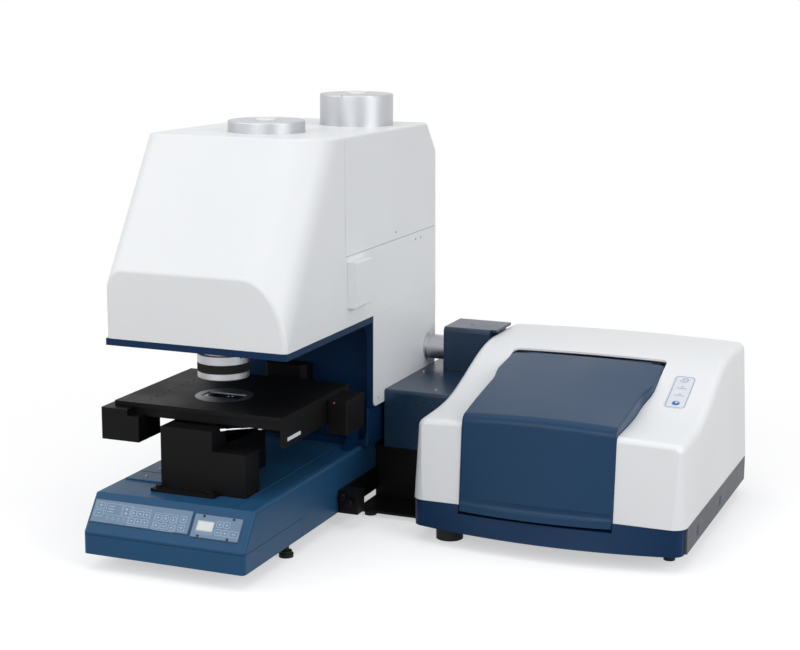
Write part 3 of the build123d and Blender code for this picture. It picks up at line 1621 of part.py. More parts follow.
button_rise = 0.8
button_sink = 1.2
stem_radius = 2.0
stem_length = 7.0


def push_button(plane, radius, name):
    """A round button that stands a little out of the strip, on a stem."""
    with BuildPart() as button:
        with BuildSketch(plane.offset(-button_sink)):
            Circle(radius)
        extrude(amount=button_sink + strip_thickness + button_rise)
        with BuildSketch(plane.offset(-stem_length)):
            Circle(stem_radius)
        extrude(amount=stem_length)
    save(button, name)


push_button(power_plane, power_radius, "power_button")
push_button(start_plane, start_radius, "start_button")

# Rubber feet of the spectrometer and its levelling feet
with BuildPart(spec) as spec_feet:
    for foot_x, foot_y, radius in (
        (foot_inset, front_foot_setback, big_foot_radius),
        (foot_inset, spec_depth - rear_foot_inset, big_foot_radius),
        (spec_width - foot_inset, spec_depth - rear_foot_inset, big_foot_radius),
        (spec_width - small_foot_inset, small_foot_setback, small_foot_radius),
    ):
        rod(foot_x, foot_y, (0, spec_bottom), radius)
save(spec_feet, "spec_feet")

print("done")
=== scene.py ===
import json
import math

import bmesh
import bpy
from mathutils import Matrix, Vector
from mathutils.bvhtree import BVHTree

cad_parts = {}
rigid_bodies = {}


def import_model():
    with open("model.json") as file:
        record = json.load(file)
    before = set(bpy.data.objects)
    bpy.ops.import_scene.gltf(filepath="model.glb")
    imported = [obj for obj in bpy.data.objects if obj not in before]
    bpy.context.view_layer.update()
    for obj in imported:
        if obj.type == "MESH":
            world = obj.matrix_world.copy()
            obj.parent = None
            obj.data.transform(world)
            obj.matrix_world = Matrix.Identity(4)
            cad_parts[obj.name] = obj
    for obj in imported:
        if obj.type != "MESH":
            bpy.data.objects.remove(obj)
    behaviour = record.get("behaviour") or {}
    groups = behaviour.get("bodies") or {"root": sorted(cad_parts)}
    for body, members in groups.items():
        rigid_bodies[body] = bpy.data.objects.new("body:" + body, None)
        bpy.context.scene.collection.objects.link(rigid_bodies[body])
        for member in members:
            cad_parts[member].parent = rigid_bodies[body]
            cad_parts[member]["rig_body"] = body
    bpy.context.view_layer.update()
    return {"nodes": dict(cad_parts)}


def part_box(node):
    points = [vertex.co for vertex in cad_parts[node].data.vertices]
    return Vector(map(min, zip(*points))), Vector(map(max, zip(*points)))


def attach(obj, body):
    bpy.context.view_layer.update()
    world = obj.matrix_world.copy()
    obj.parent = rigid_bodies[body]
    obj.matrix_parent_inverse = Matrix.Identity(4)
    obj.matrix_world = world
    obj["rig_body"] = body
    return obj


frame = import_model()
nodes = frame["nodes"]

# Places measured on the photograph count from the microscope head's front left corner, in millimetres
HEAD_CORNER = Vector((-375.2, -258.5, 0.0))
SPEC_CORNER = Vector((-6.2, -73.5, 0.0))


def place(x, y, z, corner=HEAD_CORNER):
    """A place in the shared frame, in metres."""
    return (Vector((x, y, z)) + corner) / 1000


# Camera

EYE = Vector((0.8502, -2.2420, 0.7730))
YAW, PITCH, ROLL = math.radians(21.94), math.radians(11.326), math.radians(0.322)
LENS = 78.51

camera_data = bpy.data.cameras.new("camera")
camera = bpy.data.objects.new("camera", camera_data)
bpy.context.scene.collection.objects.link(camera)
camera_data.lens = LENS
camera_data.sensor_width = 36
camera_data.clip_start = 0.05
camera_data.clip_end = 50
forward = Vector((-math.sin(YAW) * math.cos(PITCH), math.cos(YAW) * math.cos(PITCH), -math.sin(PITCH)))
camera.rotation_mode = "QUATERNION"
camera.location = EYE
camera.rotation_quaternion = (
    Matrix.Rotation(-ROLL, 3, forward).to_quaternion() @ forward.to_track_quat("-Z", "Y")
)
bpy.context.scene.camera = camera
bpy.context.scene.view_settings.view_transform = "Standard"

# A pixel of the photograph leads to the place on the model that is seen there
PHOTO_WIDTH, PHOTO_HEIGHT = 800, 650
FOCAL = LENS / camera_data.sensor_width * PHOTO_WIDTH
surfaces = {}


def surface(node):
    """A search tree over a node's faces, made once."""
    if node not in surfaces:
        mesh = nodes[node].data
        surfaces[node] = BVHTree.FromPolygons(
            [v.co for v in mesh.vertices], [tuple(p.vertices) for p in mesh.polygons]
        )
    return surfaces[node]


def frame_at(spot, normal, along=Vector((1, 0, 0))):
    """A frame with its Z along a normal and its X as near as it can be to a direction."""
    z_axis = normal.normalized()
    x_axis = (along - z_axis * along.dot(z_axis)).normalized()
    y_axis = z_axis.cross(x_axis)
    turn = Matrix((x_axis, y_axis, z_axis)).transposed().to_4x4()
    return Matrix.Translation(spot) @ turn


def seen(node, u, v, along=Vector((1, 0, 0))):
    """The frame on a node's surface at a pixel of the photograph."""
    local = Vector(((u - PHOTO_WIDTH / 2) / FOCAL, (PHOTO_HEIGHT / 2 - v) / FOCAL, -1))
    direction = (camera.rotation_quaternion @ local).normalized()
    spot, normal, _, _ = surface(node).ray_cast(EYE, direction)
    if spot is None:
        raise SystemExit(f"nothing of {node} is seen at {u}, {v}")
    return frame_at(spot, normal if normal.dot(direction) < 0 else -normal, along)


def dropped(node, x, y):
    """The place on a node's top surface above x, y."""
    spot, _, _, _ = surface(node).ray_cast(Vector((x, y, 2)), Vector((0, 0, -1)))
    return spot


# Materials

def tone(red, green, blue):
    """Linear colour of a screen colour from 0 to 255."""
    steps = (c / 255 for c in (red, green, blue))
    return tuple(c / 12.92 if c <= 0.04045 else ((c + 0.055) / 1.055) ** 2.4 for c in steps) + (1.0,)


class Finish:
    """A material whose colour, roughness and surface relief come from noise in object space."""

    def __init__(self, name, colour, roughness, metallic=0.0, edge=0.0007, gloss=0.5):
        self.material = bpy.data.materials.new(name)
        self.material.use_nodes = True
        self.nodes = self.material.node_tree.nodes
        self.links = self.material.node_tree.links
        self.shader = self.nodes["Principled BSDF"]
        self.shader.inputs["Metallic"].default_value = metallic
        self.shader.inputs["Roughness"].default_value = roughness
        self.shader.inputs["Base Color"].default_value = colour
        self.shader.inputs["Specular IOR Level"].default_value = gloss
        self.colour = colour
        self.roughness = roughness
        self.coords = self.nodes.new("ShaderNodeTexCoord")
        soft_edge = self.nodes.new("ShaderNodeBevel")
        soft_edge.samples = 4
        soft_edge.inputs["Radius"].default_value = edge
        self.relief = soft_edge.outputs["Normal"]

    def noise(self, scale, detail=2.0, stretch=None):
        texture = self.nodes.new("ShaderNodeTexNoise")
        texture.inputs["Scale"].default_value = scale
        texture.inputs["Detail"].default_value = detail
        source = self.coords.outputs["Object"]
        if stretch:
            mapping = self.nodes.new("ShaderNodeMapping")
            mapping.inputs["Scale"].default_value = stretch
            self.links.new(source, mapping.inputs["Vector"])
            source = mapping.outputs["Vector"]
        self.links.new(source, texture.inputs["Vector"])
        return texture.outputs["Fac"]

    def spread(self, value, low, high, start=0.3, end=0.7):
        span = self.nodes.new("ShaderNodeMapRange")
        span.inputs["From Min"].default_value = start
        span.inputs["From Max"].default_value = end
        span.inputs["To Min"].default_value = low
        span.inputs["To Max"].default_value = high
        self.links.new(value, span.inputs["Value"])
        return span.outputs["Result"]

    def vary(self, scale, amount):
        """Colour drifts between the colour and a slightly different one."""
        mix = self.nodes.new("ShaderNodeMix")
        mix.data_type = "RGBA"
        mix.inputs["A"].default_value = self.colour
        darker = tuple(c * (1 - amount) for c in self.colour[:3]) + (1.0,)
        mix.inputs["B"].default_value = darker
        self.links.new(self.spread(self.noise(scale, 4.0), 0.0, 1.0), mix.inputs["Factor"])
        self.links.new(mix.outputs["Result"], self.shader.inputs["Base Color"])
        return self

    def smudge(self, scale, amount):
        """Roughness drifts, as on a handled or slightly dusty surface."""
        value = self.spread(
            self.noise(scale, 5.0), self.roughness - amount, self.roughness + amount
        )
        self.links.new(value, self.shader.inputs["Roughness"])
        return self

    def grain(self, scale, depth, strength=0.4, stretch=None, detail=2.0):
        """Surface relief: grains of 1/scale metres, depth in metres."""
        bump = self.nodes.new("ShaderNodeBump")
        bump.inputs["Strength"].default_value = strength
        bump.inputs["Distance"].default_value = depth
        self.links.new(self.noise(scale, detail, stretch), bump.inputs["Height"])
        self.links.new(self.relief, bump.inputs["Normal"])
        self.relief = bump.outputs["Normal"]
        self.links.new(self.relief, self.shader.inputs["Normal"])
        return self


WHITE_PAINT = Finish("white_paint", tone(234, 236, 238), 0.42)
WHITE_PAINT.vary(6, 0.03).smudge(9, 0.05).grain(900, 0.00025, 0.25)
WHITE_SHELL = Finish("white_shell", tone(236, 238, 240), 0.38)
WHITE_SHELL.vary(5, 0.03).smudge(8, 0.05).grain(1400, 0.0002, 0.25)
BLUE_PAINT = Finish("blue_paint", tone(32, 76, 112), 0.42, gloss=0.2)
BLUE_PAINT.vary(7, 0.08).smudge(9, 0.05).grain(1100, 0.0003, 0.35)
BLUE_FRAME = Finish("blue_frame", tone(8, 44, 78), 0.45, gloss=0.15)
BLUE_FRAME.vary(7, 0.08).smudge(9, 0.05).grain(1100, 0.0003, 0.3)
BOX_PAINT = Finish("box_paint", tone(16, 46, 72), 0.3)
BOX_PAINT.vary(7, 0.08).smudge(9, 0.05).grain(1100, 0.0003, 0.35)
NAVY_SHELL = Finish("navy_shell", tone(12, 56, 90), 0.34, gloss=0.25)
NAVY_SHELL.vary(5, 0.06).smudge(8, 0.05).grain(1300, 0.0002, 0.3)
GREY_SHELL = Finish("grey_shell", tone(82, 84, 90), 0.5, gloss=0.3)
GREY_SHELL.vary(8, 0.06).smudge(9, 0.05).grain(1200, 0.0003, 0.4)
PANEL_FILM = Finish("panel_film", tone(104, 130, 156), 0.4, gloss=0.4)
PANEL_FILM.vary(30, 0.05).smudge(25, 0.06).grain(1500, 0.0001, 0.3)
STRIP_FILM = Finish("strip_film", tone(222, 226, 232), 0.3)
STRIP_FILM.vary(30, 0.03).smudge(25, 0.05).grain(1500, 0.0001, 0.2)
BUTTON = Finish("button", tone(20, 112, 190), 0.25, edge=0.0003)
BUTTON.vary(60, 0.08).smudge(60, 0.05).grain(1500, 0.0001, 0.2)
ALUMINIUM = Finish("aluminium", tone(190, 192, 196), 0.4, 1.0)
ALUMINIUM.vary(20, 0.05).smudge(15, 0.06).grain(900, 0.0002, 0.35, (0.02, 0.02, 1.0))
CAP = Finish("cap", tone(226, 226, 224), 0.45)
CAP.vary(20, 0.04).smudge(20, 0.05).grain(1300, 0.0002, 0.3)
BLACK_METAL = Finish("black_metal", tone(10, 10, 11), 0.5, gloss=0.12)
BLACK_METAL.vary(10, 0.2).smudge(12, 0.07).grain(1300, 0.0003, 0.4)
STEEL = Finish("steel", tone(150, 152, 156), 0.36, 1.0)
STEEL.vary(20, 0.1).smudge(15, 0.07).grain(900, 0.0002, 0.4, (1.0, 0.05, 0.05))
CHROME = Finish("chrome", tone(214, 216, 220), 0.12, 1.0)
CHROME.vary(30, 0.04).smudge(30, 0.04).grain(700, 0.0001, 0.1)
RUBBER = Finish("rubber", tone(14, 14, 15), 0.62, gloss=0.3)
RUBBER.vary(25, 0.2).smudge(25, 0.08).grain(1200, 0.0004, 0.5)
MIRROR = Finish("mirror", tone(232, 222, 190), 0.06, 1.0)
MIRROR.vary(30, 0.03).smudge(30, 0.02).grain(300, 0.00005, 0.05)
BOARD = Finish("board", tone(28, 92, 54), 0.45)
BOARD.vary(60, 0.2).smudge(40, 0.08).grain(500, 0.0003, 0.4)
WINDOW = Finish("window", tone(12, 14, 20), 0.12)
WINDOW.vary(20, 0.1).smudge(20, 0.04).grain(300, 0.0001, 0.1)
PRINT = Finish("print", tone(172, 188, 210), 0.5, edge=0.0001)
PRINT.vary(200, 0.08).smudge(90, 0.05).grain(1800, 0.00005, 0.2)
LINE = Finish("line", tone(136, 152, 182), 0.45, edge=0.0001)
LINE.vary(150, 0.08).smudge(90, 0.05).grain(1800, 0.00005, 0.2)
SHADOW_LINE = Finish("shadow_line", tone(26, 48, 80), 0.5, edge=0.0001)
SHADOW_LINE.vary(60, 0.1).smudge(60, 0.05).grain(1500, 0.0001, 0.2)
SCREEN = Finish("screen", tone(214, 219, 216), 0.16, edge=0.0002)
SCREEN.vary(90, 0.04).smudge(60, 0.04).grain(900, 0.00003, 0.1)
CYAN_LAMP = Finish("cyan_lamp", tone(20, 170, 190), 0.2, edge=0.0002)
CYAN_LAMP.vary(120, 0.1).smudge(90, 0.05).grain(900, 0.00005, 0.1)
ORANGE_LAMP = Finish("orange_lamp", tone(170, 96, 40), 0.25, edge=0.0002)
ORANGE_LAMP.vary(120, 0.1).smudge(90, 0.05).grain(900, 0.00005, 0.1)

FINISHES = (
    (WHITE_PAINT, "head_front_cover head_rear_upper head_rear_lower column_panels slot_cover"),
    (WHITE_SHELL, "spec_cover"),
    (BLUE_PAINT, "base_housing base_tray base_plate"),
    (BLUE_FRAME, "column head_tray spec_base skirt_plugs"),
    (BOX_PAINT, "interface_low_box interface_tall_box"),
    (NAVY_SHELL, "compartment_lid"),
    (GREY_SHELL, "side_skirts rear_panel"),
    (PANEL_FILM, "key_panel display_panel"),
    (STRIP_FILM, "control_strip power_button"),
    (BUTTON, "start_button"),
    (ALUMINIUM, "dewar_front dewar_rear objective_barrel objective_ring beam_tube optical_bench"),
    (CAP, "dewar_front_cap dewar_rear_cap"),
    (BLACK_METAL, "stage_frame stage_fork stage_plate stage_drive_left stage_drive_right"),
    # The black of interface_stand is partly a real black stand and partly painted shade: its plate along the
    # microscope base's side darkens the gap between the two instruments
    (BLACK_METAL, "condenser_cover condenser_housing condenser interface_stand sample_tub"),
    (BLACK_METAL, "mirror_guide laser focus_guide"),
    (STEEL, "head_frame sample_insert sample_holder moving_mirror detector ir_source"),
    (CHROME, "stage_lever"),
    (RUBBER, "objective_grip levelling_feet spec_feet"),
    (MIRROR, "objective_mirrors folding_mirrors bench_mirrors"),
    (BOARD, "electronics"),
    (WINDOW, "sample_window beamsplitter"),
)
dressed = set()
for finish, names in FINISHES:
    for name in names.split():
        slots = nodes[name].data.materials
        slots.clear()
        slots.append(finish.material)
        dressed.add(name)
bare = sorted(set(nodes) - dressed)
if bare:
    print("nodes without a finish:", bare)


# Small pieces

def keep(name, bm, finish, body="chassis"):
    """Turn a bmesh into a piece that rides on a body."""
    bmesh.ops.recalc_face_normals(bm, faces=bm.faces)
    mesh = bpy.data.meshes.new(name)
    bm.to_mesh(mesh)
    bm.free()
    mesh.materials.append(finish.material)
    piece = bpy.data.objects.new(name, mesh)
    bpy.context.scene.collection.objects.link(piece)
    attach(piece, body)
    return piece


def turned(bm, at, profile, steps=24):
    """A solid turned about the frame's Z from (radius, height) pairs in millimetres."""
    loops = []
    for radius, height in profile:
        if radius == 0:
            loops.append([bm.verts.new(at @ Vector((0, 0, height / 1000)))])
            continue
        loop = []
        for step in range(steps):
            angle = 2 * math.pi * step / steps
            spot = Vector((radius * math.cos(angle), radius * math.sin(angle), height)) / 1000
            loop.append(bm.verts.new(at @ spot))
        loops.append(loop)
    for low, high in zip(loops, loops[1:]):
        for step in range(steps):
            after = (step + 1) % steps
            corners = [
                low[step % len(low)],
                low[after % len(low)],
                high[after % len(high)],
                high[step % len(high)],
            ]
            bm.faces.new(list(dict.fromkeys(corners)))


def slab(bm, at, outline, low, high, bevel=0.0):
    """A flat form of an outline between two heights, its upper edge bevelled, in millimetres."""
    centre = sum((Vector(p) for p in outline), Vector((0, 0))) / len(outline)
    levels = [(0.0, low), (0.0, high - bevel), (bevel, high)] if bevel else [(0.0, low), (0.0, high)]
    loops = []
    for inset, height in levels:
        loop = []
        for point in outline:
            away = Vector(point) - centre
            pulled = Vector(point) - away.normalized() * inset * 1.2
            loop.append(bm.verts.new(at @ (Vector((pulled.x, pulled.y, height)) / 1000)))
        loops.append(loop)
    count = len(outline)
    for lower, upper in zip(loops, loops[1:]):
        for k in range(count):
            bm.faces.new((lower[k], lower[(k + 1) % count], upper[(k + 1) % count], upper[k]))
    bm.faces.new(loops[-1])
    bm.faces.new(list(reversed(loops[0])))


def rounded_outline(x, y, width, height, radius, steps=4):
    """The points of a rectangle with round corners about x, y."""
    points = []
    for quarter, (side_x, side_y) in enumerate(((1, 1), (-1, 1), (-1, -1), (1, -1))):
        corner_x = x + side_x * (width / 2 - radius)
        corner_y = y + side_y * (height / 2 - radius)
        for step in range(steps + 1):
            angle = math.pi / 2 * (quarter + step / steps)
            points.append((corner_x + radius * math.cos(angle), corner_y + radius * math.sin(angle)))
    return points


def printed_line(bm, at, points, width, high, closed=True):
    """A thin raised line along points of the frame's plane."""
    count = len(points)
    last = count if closed else count - 1
    sides = []
    for k, point in enumerate(points):
        before = Vector(points[k - 1] if closed or k else point)
        after = Vector(points[(k + 1) % count] if closed or k < count - 1 else point)
        along = (after - before).normalized()
        across = Vector((-along.y, along.x)) * width / 2
        spots = []
        for offset, height in ((across, ROOT), (across, high), (-across, high), (-across, ROOT)):
            place_2d = Vector(point) + offset
            spots.append(bm.verts.new(at @ (Vector((place_2d.x, place_2d.y, height)) / 1000)))
        sides.append(spots)
    for k in range(last):
        first, second = sides[k], sides[(k + 1) % count]
        for a, b in ((0, 1), (1, 2), (2, 3)):
            bm.faces.new((first[a], first[b], second[b], second[a]))
    if not closed:
        bm.faces.new(sides[0])
        bm.faces.new(sides[-1])


# How far a printed piece reaches into what carries it, and how high two kinds of print stand, in millimetres
ROOT = -0.1
PRINT_HIGH, FINE_HIGH = 0.12, 0.1
PRINT_WIDE, FINE_WIDE = 0.55, 0.4

SCREW_HEAD = ((0, -0.6), (0.45, -0.6), (0.5, 0.5), (0.85, 0.42), (1.0, 0.1), (1.0, -0.1))


def screw(bm, at, radius):
    """A domed screw head with a socket, sunk a little into what carries it."""
    turned(bm, at, [(r * radius, h * radius) for r, h in SCREW_HEAD], steps=18)


def frame_body(node):
    """The body that carries a node."""
    return nodes[node]["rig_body"]


def screws(name, node, pixels, radius, finish):
    """Screws at pixels of the photograph, on the body of the node that carries them."""
    body = frame_body(node)
    bm = bmesh.new()
    for u, v in pixels:
        screw(bm, seen(node, u, v), radius)
    return keep(name, bm, finish, body)


# Fasteners that the photograph shows
screws("head_side_screw", "head_rear_upper", ((396, 232),), 1.6, STEEL)
screws("head_side_screws", "head_rear_lower", ((415.5, 239), (420.5, 237)), 1.6, STEEL)
screws("low_box_screws", "interface_low_box", ((423.5, 371.5), (436, 390)), 2.4, STEEL)
screws("panel_screw", "column_panels", ((377.5, 398),), 2.4, STEEL)
screws("skirt_screws", "stage_frame", ((296, 425), (300, 418)), 1.5, STEEL)
screws("dewar_screw", "dewar_rear", ((342, 96),), 0.9, BLACK_METAL)
screws("flange_bolts", "condenser_cover", ((152, 489), (208, 493)), 2.2, BLACK_METAL)
screws("insert_screws", "sample_window", ((228.5, 396.5), (232.5, 396.5)), 1.3, STEEL)

# These two stand a few pixels from where the photograph has them: the form below lies a little elsewhere
screws("tall_box_screw", "interface_tall_box", ((473, 324),), 2.6, STEEL)
screws("ring_screw", "objective_ring", ((241, 358),), 1.1, BLACK_METAL)

# Plate on the stage's side, left bare
bm = bmesh.new()
slab(bm, seen("stage_frame", 294, 436, Vector((0, 1, 0))), rounded_outline(0, 0, 40, 5, 0.6), -0.2, 0.5, 0.2)
keep("stage_plate_label", bm, STRIP_FILM, frame_body("stage_frame"))

# Knobs of the clamp that holds the interface's stand to the microscope
bm = bmesh.new()
for u, v in ((344, 496), (351, 502)):
    turned(bm, seen("interface_stand", u, v),
           ((0, 9), (4.2, 9), (5, 8), (5, 3), (4, 2.4), (2.2, 2.2), (2.2, -1)))
keep("clamp_knobs", bm, BLACK_METAL)

# Lamps beside the stage
bm = bmesh.new()
turned(bm, seen("stage_plate", 326, 399), ((0, 1.6), (2.4, 1.3), (3.4, 0), (3.4, -1)))
keep("stage_lamp", bm, CYAN_LAMP, frame_body("stage_plate"))
bm = bmesh.new()
turned(bm, seen("stage_drive_right", 334, 403), ((0, 0.9), (1.1, 0.7), (1.4, 0), (1.4, -0.6)))
keep("motor_lamp", bm, ORANGE_LAMP, frame_body("stage_drive_right"))


# Console: outlined keys, their plain symbols, the screen and the corner screws. Places on the slope are
# (along, up the slope) in millimetres from the foot of the slope
SLOPE = math.radians(53.7)
PLATE = 1.2
slope_normal = Vector((0, -math.sin(SLOPE), math.cos(SLOPE)))
slope_frame = frame_at(place(0, -96, 52) + slope_normal * PLATE / 1000, slope_normal)

KEY_SIZE = (8.6, 7.8)
GRID_KEYS = [(x, s) for s in (33.4, 22.6) for x in (82.4, 92.2, 102.0)]
MEASURE_KEYS = [(119.6, 32), (130.4, 32), (119.6, 21.3), (130.4, 21.3), (142.2, 31.4), (142.2, 20.8)]
LIGHT_KEYS = [(156.6, 33.9), (156.6, 22.2)]
LEFT_KEYS = [(31.6, 38.4), (31.6, 27.6)]
SCREEN_KEYS = [(209.4, 33.8), (219.5, 33.8), (209.4, 22.8), (219.5, 22.7)]
WIDE_KEY = (232.4, 22.6)
GROUPS = ((52.4, 34.6, 24, 15.4), (73, 34.2, 14.6, 15.4), (92.2, 28.2, 30.6, 24.4), (131, 26.6, 33.6, 23.4))
GROUP_ROUND = 1.4
ARROW = 2.0


def arrow(x, y, size, turn):
    """A small triangle about x, y that points in a direction."""
    points = []
    for corner in (0, 1, 2):
        angle = math.radians(turn + 120 * corner)
        points.append((x + size * math.cos(angle), y + size * math.sin(angle)))
    return points


lines = bmesh.new()
for x, s in GRID_KEYS + MEASURE_KEYS + SCREEN_KEYS:
    printed_line(lines, slope_frame, rounded_outline(x, s, *KEY_SIZE, 1.6), PRINT_WIDE, PRINT_HIGH)
for x, s in LIGHT_KEYS:
    printed_line(lines, slope_frame, rounded_outline(x, s, 8.4, 8.4, 1.6), PRINT_WIDE, PRINT_HIGH)
for x, s in LEFT_KEYS:
    printed_line(lines, slope_frame, rounded_outline(x, s, 12.6, 8.4, 1.8), PRINT_WIDE, PRINT_HIGH)
printed_line(lines, slope_frame, rounded_outline(*WIDE_KEY, 13, 8, 1.6), PRINT_WIDE, PRINT_HIGH)
for group in GROUPS:
    printed_line(lines, slope_frame, rounded_outline(*group, GROUP_ROUND), FINE_WIDE, FINE_HIGH)
for x in (46.5, 54.5, 62.5, 70.5):
    printed_line(lines, slope_frame, rounded_outline(x, 22.2, 3.4, 3.4, 1.6), FINE_WIDE, FINE_HIGH)
keep("key_lines", lines, PRINT)

symbols = bmesh.new()
for x, s in (GRID_KEYS[0], GRID_KEYS[1], LIGHT_KEYS[0], SCREEN_KEYS[1]):
    slab(symbols, slope_frame, arrow(x, s, ARROW, 90), ROOT, PRINT_HIGH)
for x, s in (GRID_KEYS[3], GRID_KEYS[4], LIGHT_KEYS[1], SCREEN_KEYS[3]):
    slab(symbols, slope_frame, arrow(x, s, ARROW, -90), ROOT, PRINT_HIGH)
for x, s in (GRID_KEYS[2], MEASURE_KEYS[0], MEASURE_KEYS[4]):
    slab(symbols, slope_frame, arrow(x, s, ARROW, 0), ROOT, PRINT_HIGH)
for x, s in (GRID_KEYS[5], MEASURE_KEYS[2], MEASURE_KEYS[5]):
    slab(symbols, slope_frame, arrow(x, s, ARROW, 180), ROOT, PRINT_HIGH)
for x, s in (MEASURE_KEYS[1], MEASURE_KEYS[3], SCREEN_KEYS[0], SCREEN_KEYS[2], WIDE_KEY, *LEFT_KEYS):
    slab(symbols, slope_frame, rounded_outline(x, s, 4.4, 1.0, 0.4), ROOT, PRINT_HIGH)
for x, s in (MEASURE_KEYS[1], SCREEN_KEYS[0], LEFT_KEYS[0]):
    slab(symbols, slope_frame, rounded_outline(x, s, 1.0, 4.4, 0.4), ROOT, PRINT_HIGH)
for x, s in ((71, 37), (71, 31.5)):
    slab(symbols, slope_frame, rounded_outline(x, s, 3.2, 2.2, 0.4), ROOT, PRINT_HIGH)
for s in (38.6, 34.8, 31):
    slab(symbols, slope_frame, rounded_outline(48, s, 9, 0.8, 0.3), ROOT, PRINT_HIGH)
keep("key_symbols", symbols, PRINT)

rims = bmesh.new()
printed_line(rims, slope_frame, rounded_outline(94.5, 30.75, 146.2, 31.7, 2), 0.7, 0.06)
printed_line(rims, slope_frame, rounded_outline(206, 28.75, 69.2, 31.7, 2), 0.7, 0.06)
keep("plate_rims", rims, SHADOW_LINE)

glass = bmesh.new()
slab(glass, slope_frame, rounded_outline(189.5, 28.7, 22.4, 12.4, 0.6), -1.1, 0.5, 0.3)
keep("screen_glass", glass, SCREEN)
frame_lines = bmesh.new()
printed_line(frame_lines, slope_frame, rounded_outline(189.5, 28.7, 23.6, 13.6, 0.8), 0.8, 0.2)
printed_line(frame_lines, slope_frame, rounded_outline(189.5, 19.6, 24, 2.4, 0.5), 0.4, 0.1)
keep("screen_frame", frame_lines, PRINT)

plate_screws = bmesh.new()
for x, s in ((184.6, 42.3), (227.6, 42.3), (182.5, 15.0), (225, 15.0)):
    screw(plate_screws, slope_frame @ Matrix.Translation(Vector((x, s, 0)) / 1000), 1.7)
keep("plate_screws", plate_screws, BLACK_METAL)

# Base: raised cover plates at the left of the top, with their screws, and two raised lines at the right
step = bmesh.new()
BASE_TOP = frame_at(place(0, 0, 98), Vector((0, 0, 1)))
slab(step, BASE_TOP, ((24, 40), (88, 40), (88, 76), (24, 76)), -0.2, 2.0, 0.5)
slab(step, BASE_TOP, ((24, 2), (88, 2), (88, 38), (24, 38)), -0.2, 2.0, 0.5)
keep("base_plates", step, BLUE_PAINT)
step_screws = bmesh.new()
for x, y in ((46, 20), (46, 58)):
    screw(step_screws, frame_at(place(x, y, 100), Vector((0, 0, 1))), 2.4)
keep("base_plate_screws", step_screws, STEEL)
base_edges = bmesh.new()
for x in (218, 244):
    slab(base_edges, BASE_TOP, ((x, -60), (x + 2, -60), (x + 2, 250), (x, 250)), -0.2, 0.8, 0.3)
keep("base_top_edges", base_edges, BLUE_PAINT)

# Control strip: its outline, the marks of two small lamps, and the symbols on the two buttons
STRIP_LEFT, STRIP_RIGHT = 318.5, 347.0
STRIP_FRONT, STRIP_BACK = 145.6, 220.0


def draped(bm, node, points, width, lift, closed=True):
    """A thin line that follows a node's upper surface through points of the spectrometer."""
    lift = Vector((0, 0, lift / 1000))
    count = len(points)
    rails = []
    for k, point in enumerate(points):
        before = Vector(points[k - 1] if closed or k else point)
        after = Vector(points[(k + 1) % count] if closed or k < count - 1 else point)
        along = (after - before).normalized()
        across = Vector((-along.y, along.x)) * width / 2
        pair = []
        for sign in (1, -1):
            spot_2d = Vector(point) + sign * across
            spot = place(spot_2d.x, spot_2d.y, 0, SPEC_CORNER)
            pair.append(dropped(node, spot.x, spot.y))
        rails.append([bm.verts.new(spot + offset) for spot, offset in
                      ((pair[0], -lift), (pair[0], lift), (pair[1], lift), (pair[1], -lift))])
    for k in range(count if closed else count - 1):
        first, second = rails[k], rails[(k + 1) % count]
        for a, b in ((0, 1), (1, 2), (2, 3)):
            bm.faces.new((first[a], first[b], second[b], second[a]))
    if not closed:
        bm.faces.new(rails[0])
        bm.faces.new(rails[-1])


def dense(points, step=3.0, closed=True):
    """The same path with more points, so that it can follow a curved surface."""
    path = []
    count = len(points)
    for k in range(count if closed else count - 1):
        first, second = Vector(points[k]), Vector(points[(k + 1) % count])
        parts = max(1, round((second - first).length / step))
        path += [first.lerp(second, part / parts) for part in range(parts)]
    return path if closed else path + [Vector(points[-1])]


strip_middle = ((STRIP_LEFT + STRIP_RIGHT) / 2, (STRIP_FRONT + STRIP_BACK) / 2)
strip_size = (STRIP_RIGHT - STRIP_LEFT - 2.2, STRIP_BACK - STRIP_FRONT - 2.2)
strip_lines = bmesh.new()
draped(strip_lines, "control_strip", dense(rounded_outline(*strip_middle, *strip_size, 4.5)), 0.9, 0.12)
for y in (192, 176):
    lamp_path = dense(rounded_outline(strip_middle[0], y + 4, 3.2, 2.2, 1.0), 1.0)
    draped(strip_lines, "control_strip", lamp_path, 0.5, FINE_HIGH)
    bar_path = dense(((strip_middle[0] - 7, y), (strip_middle[0] + 7, y)), 2.0, False)
    draped(strip_lines, "control_strip", bar_path, 1.2, FINE_HIGH, False)
keep("strip_lines", strip_lines, LINE)


def button_frame(node):
    """A frame on the middle of a round button's top face, found along its own axis."""
    top = max(nodes[node].data.polygons, key=lambda face: face.normal.z * face.area)
    ring = [nodes[node].data.vertices[k].co for k in top.vertices]
    return frame_at(sum(ring, Vector()) / len(ring), top.normal)


power = button_frame("power_button")
marks = bmesh.new()
printed_line(marks, power, rounded_outline(0, 0, 8.0, 8.0, 4.0, 8), 0.6, 0.12)
arc = [(2.6 * math.sin(math.radians(a)), 2.6 * math.cos(math.radians(a))) for a in range(40, 321, 20)]
printed_line(marks, power, arc, 0.7, 0.12, closed=False)
printed_line(marks, power, ((0, 0.6), (0, 3.2)), 0.7, 0.12, closed=False)
keep("power_symbol", marks, LINE, "power_button")
start = button_frame("start_button")
marks = bmesh.new()
slab(marks, start, arrow(-0.2, 0, 3.1, 0), -0.1, 0.15)
keep("start_symbol", marks, STRIP_FILM, "start_button")

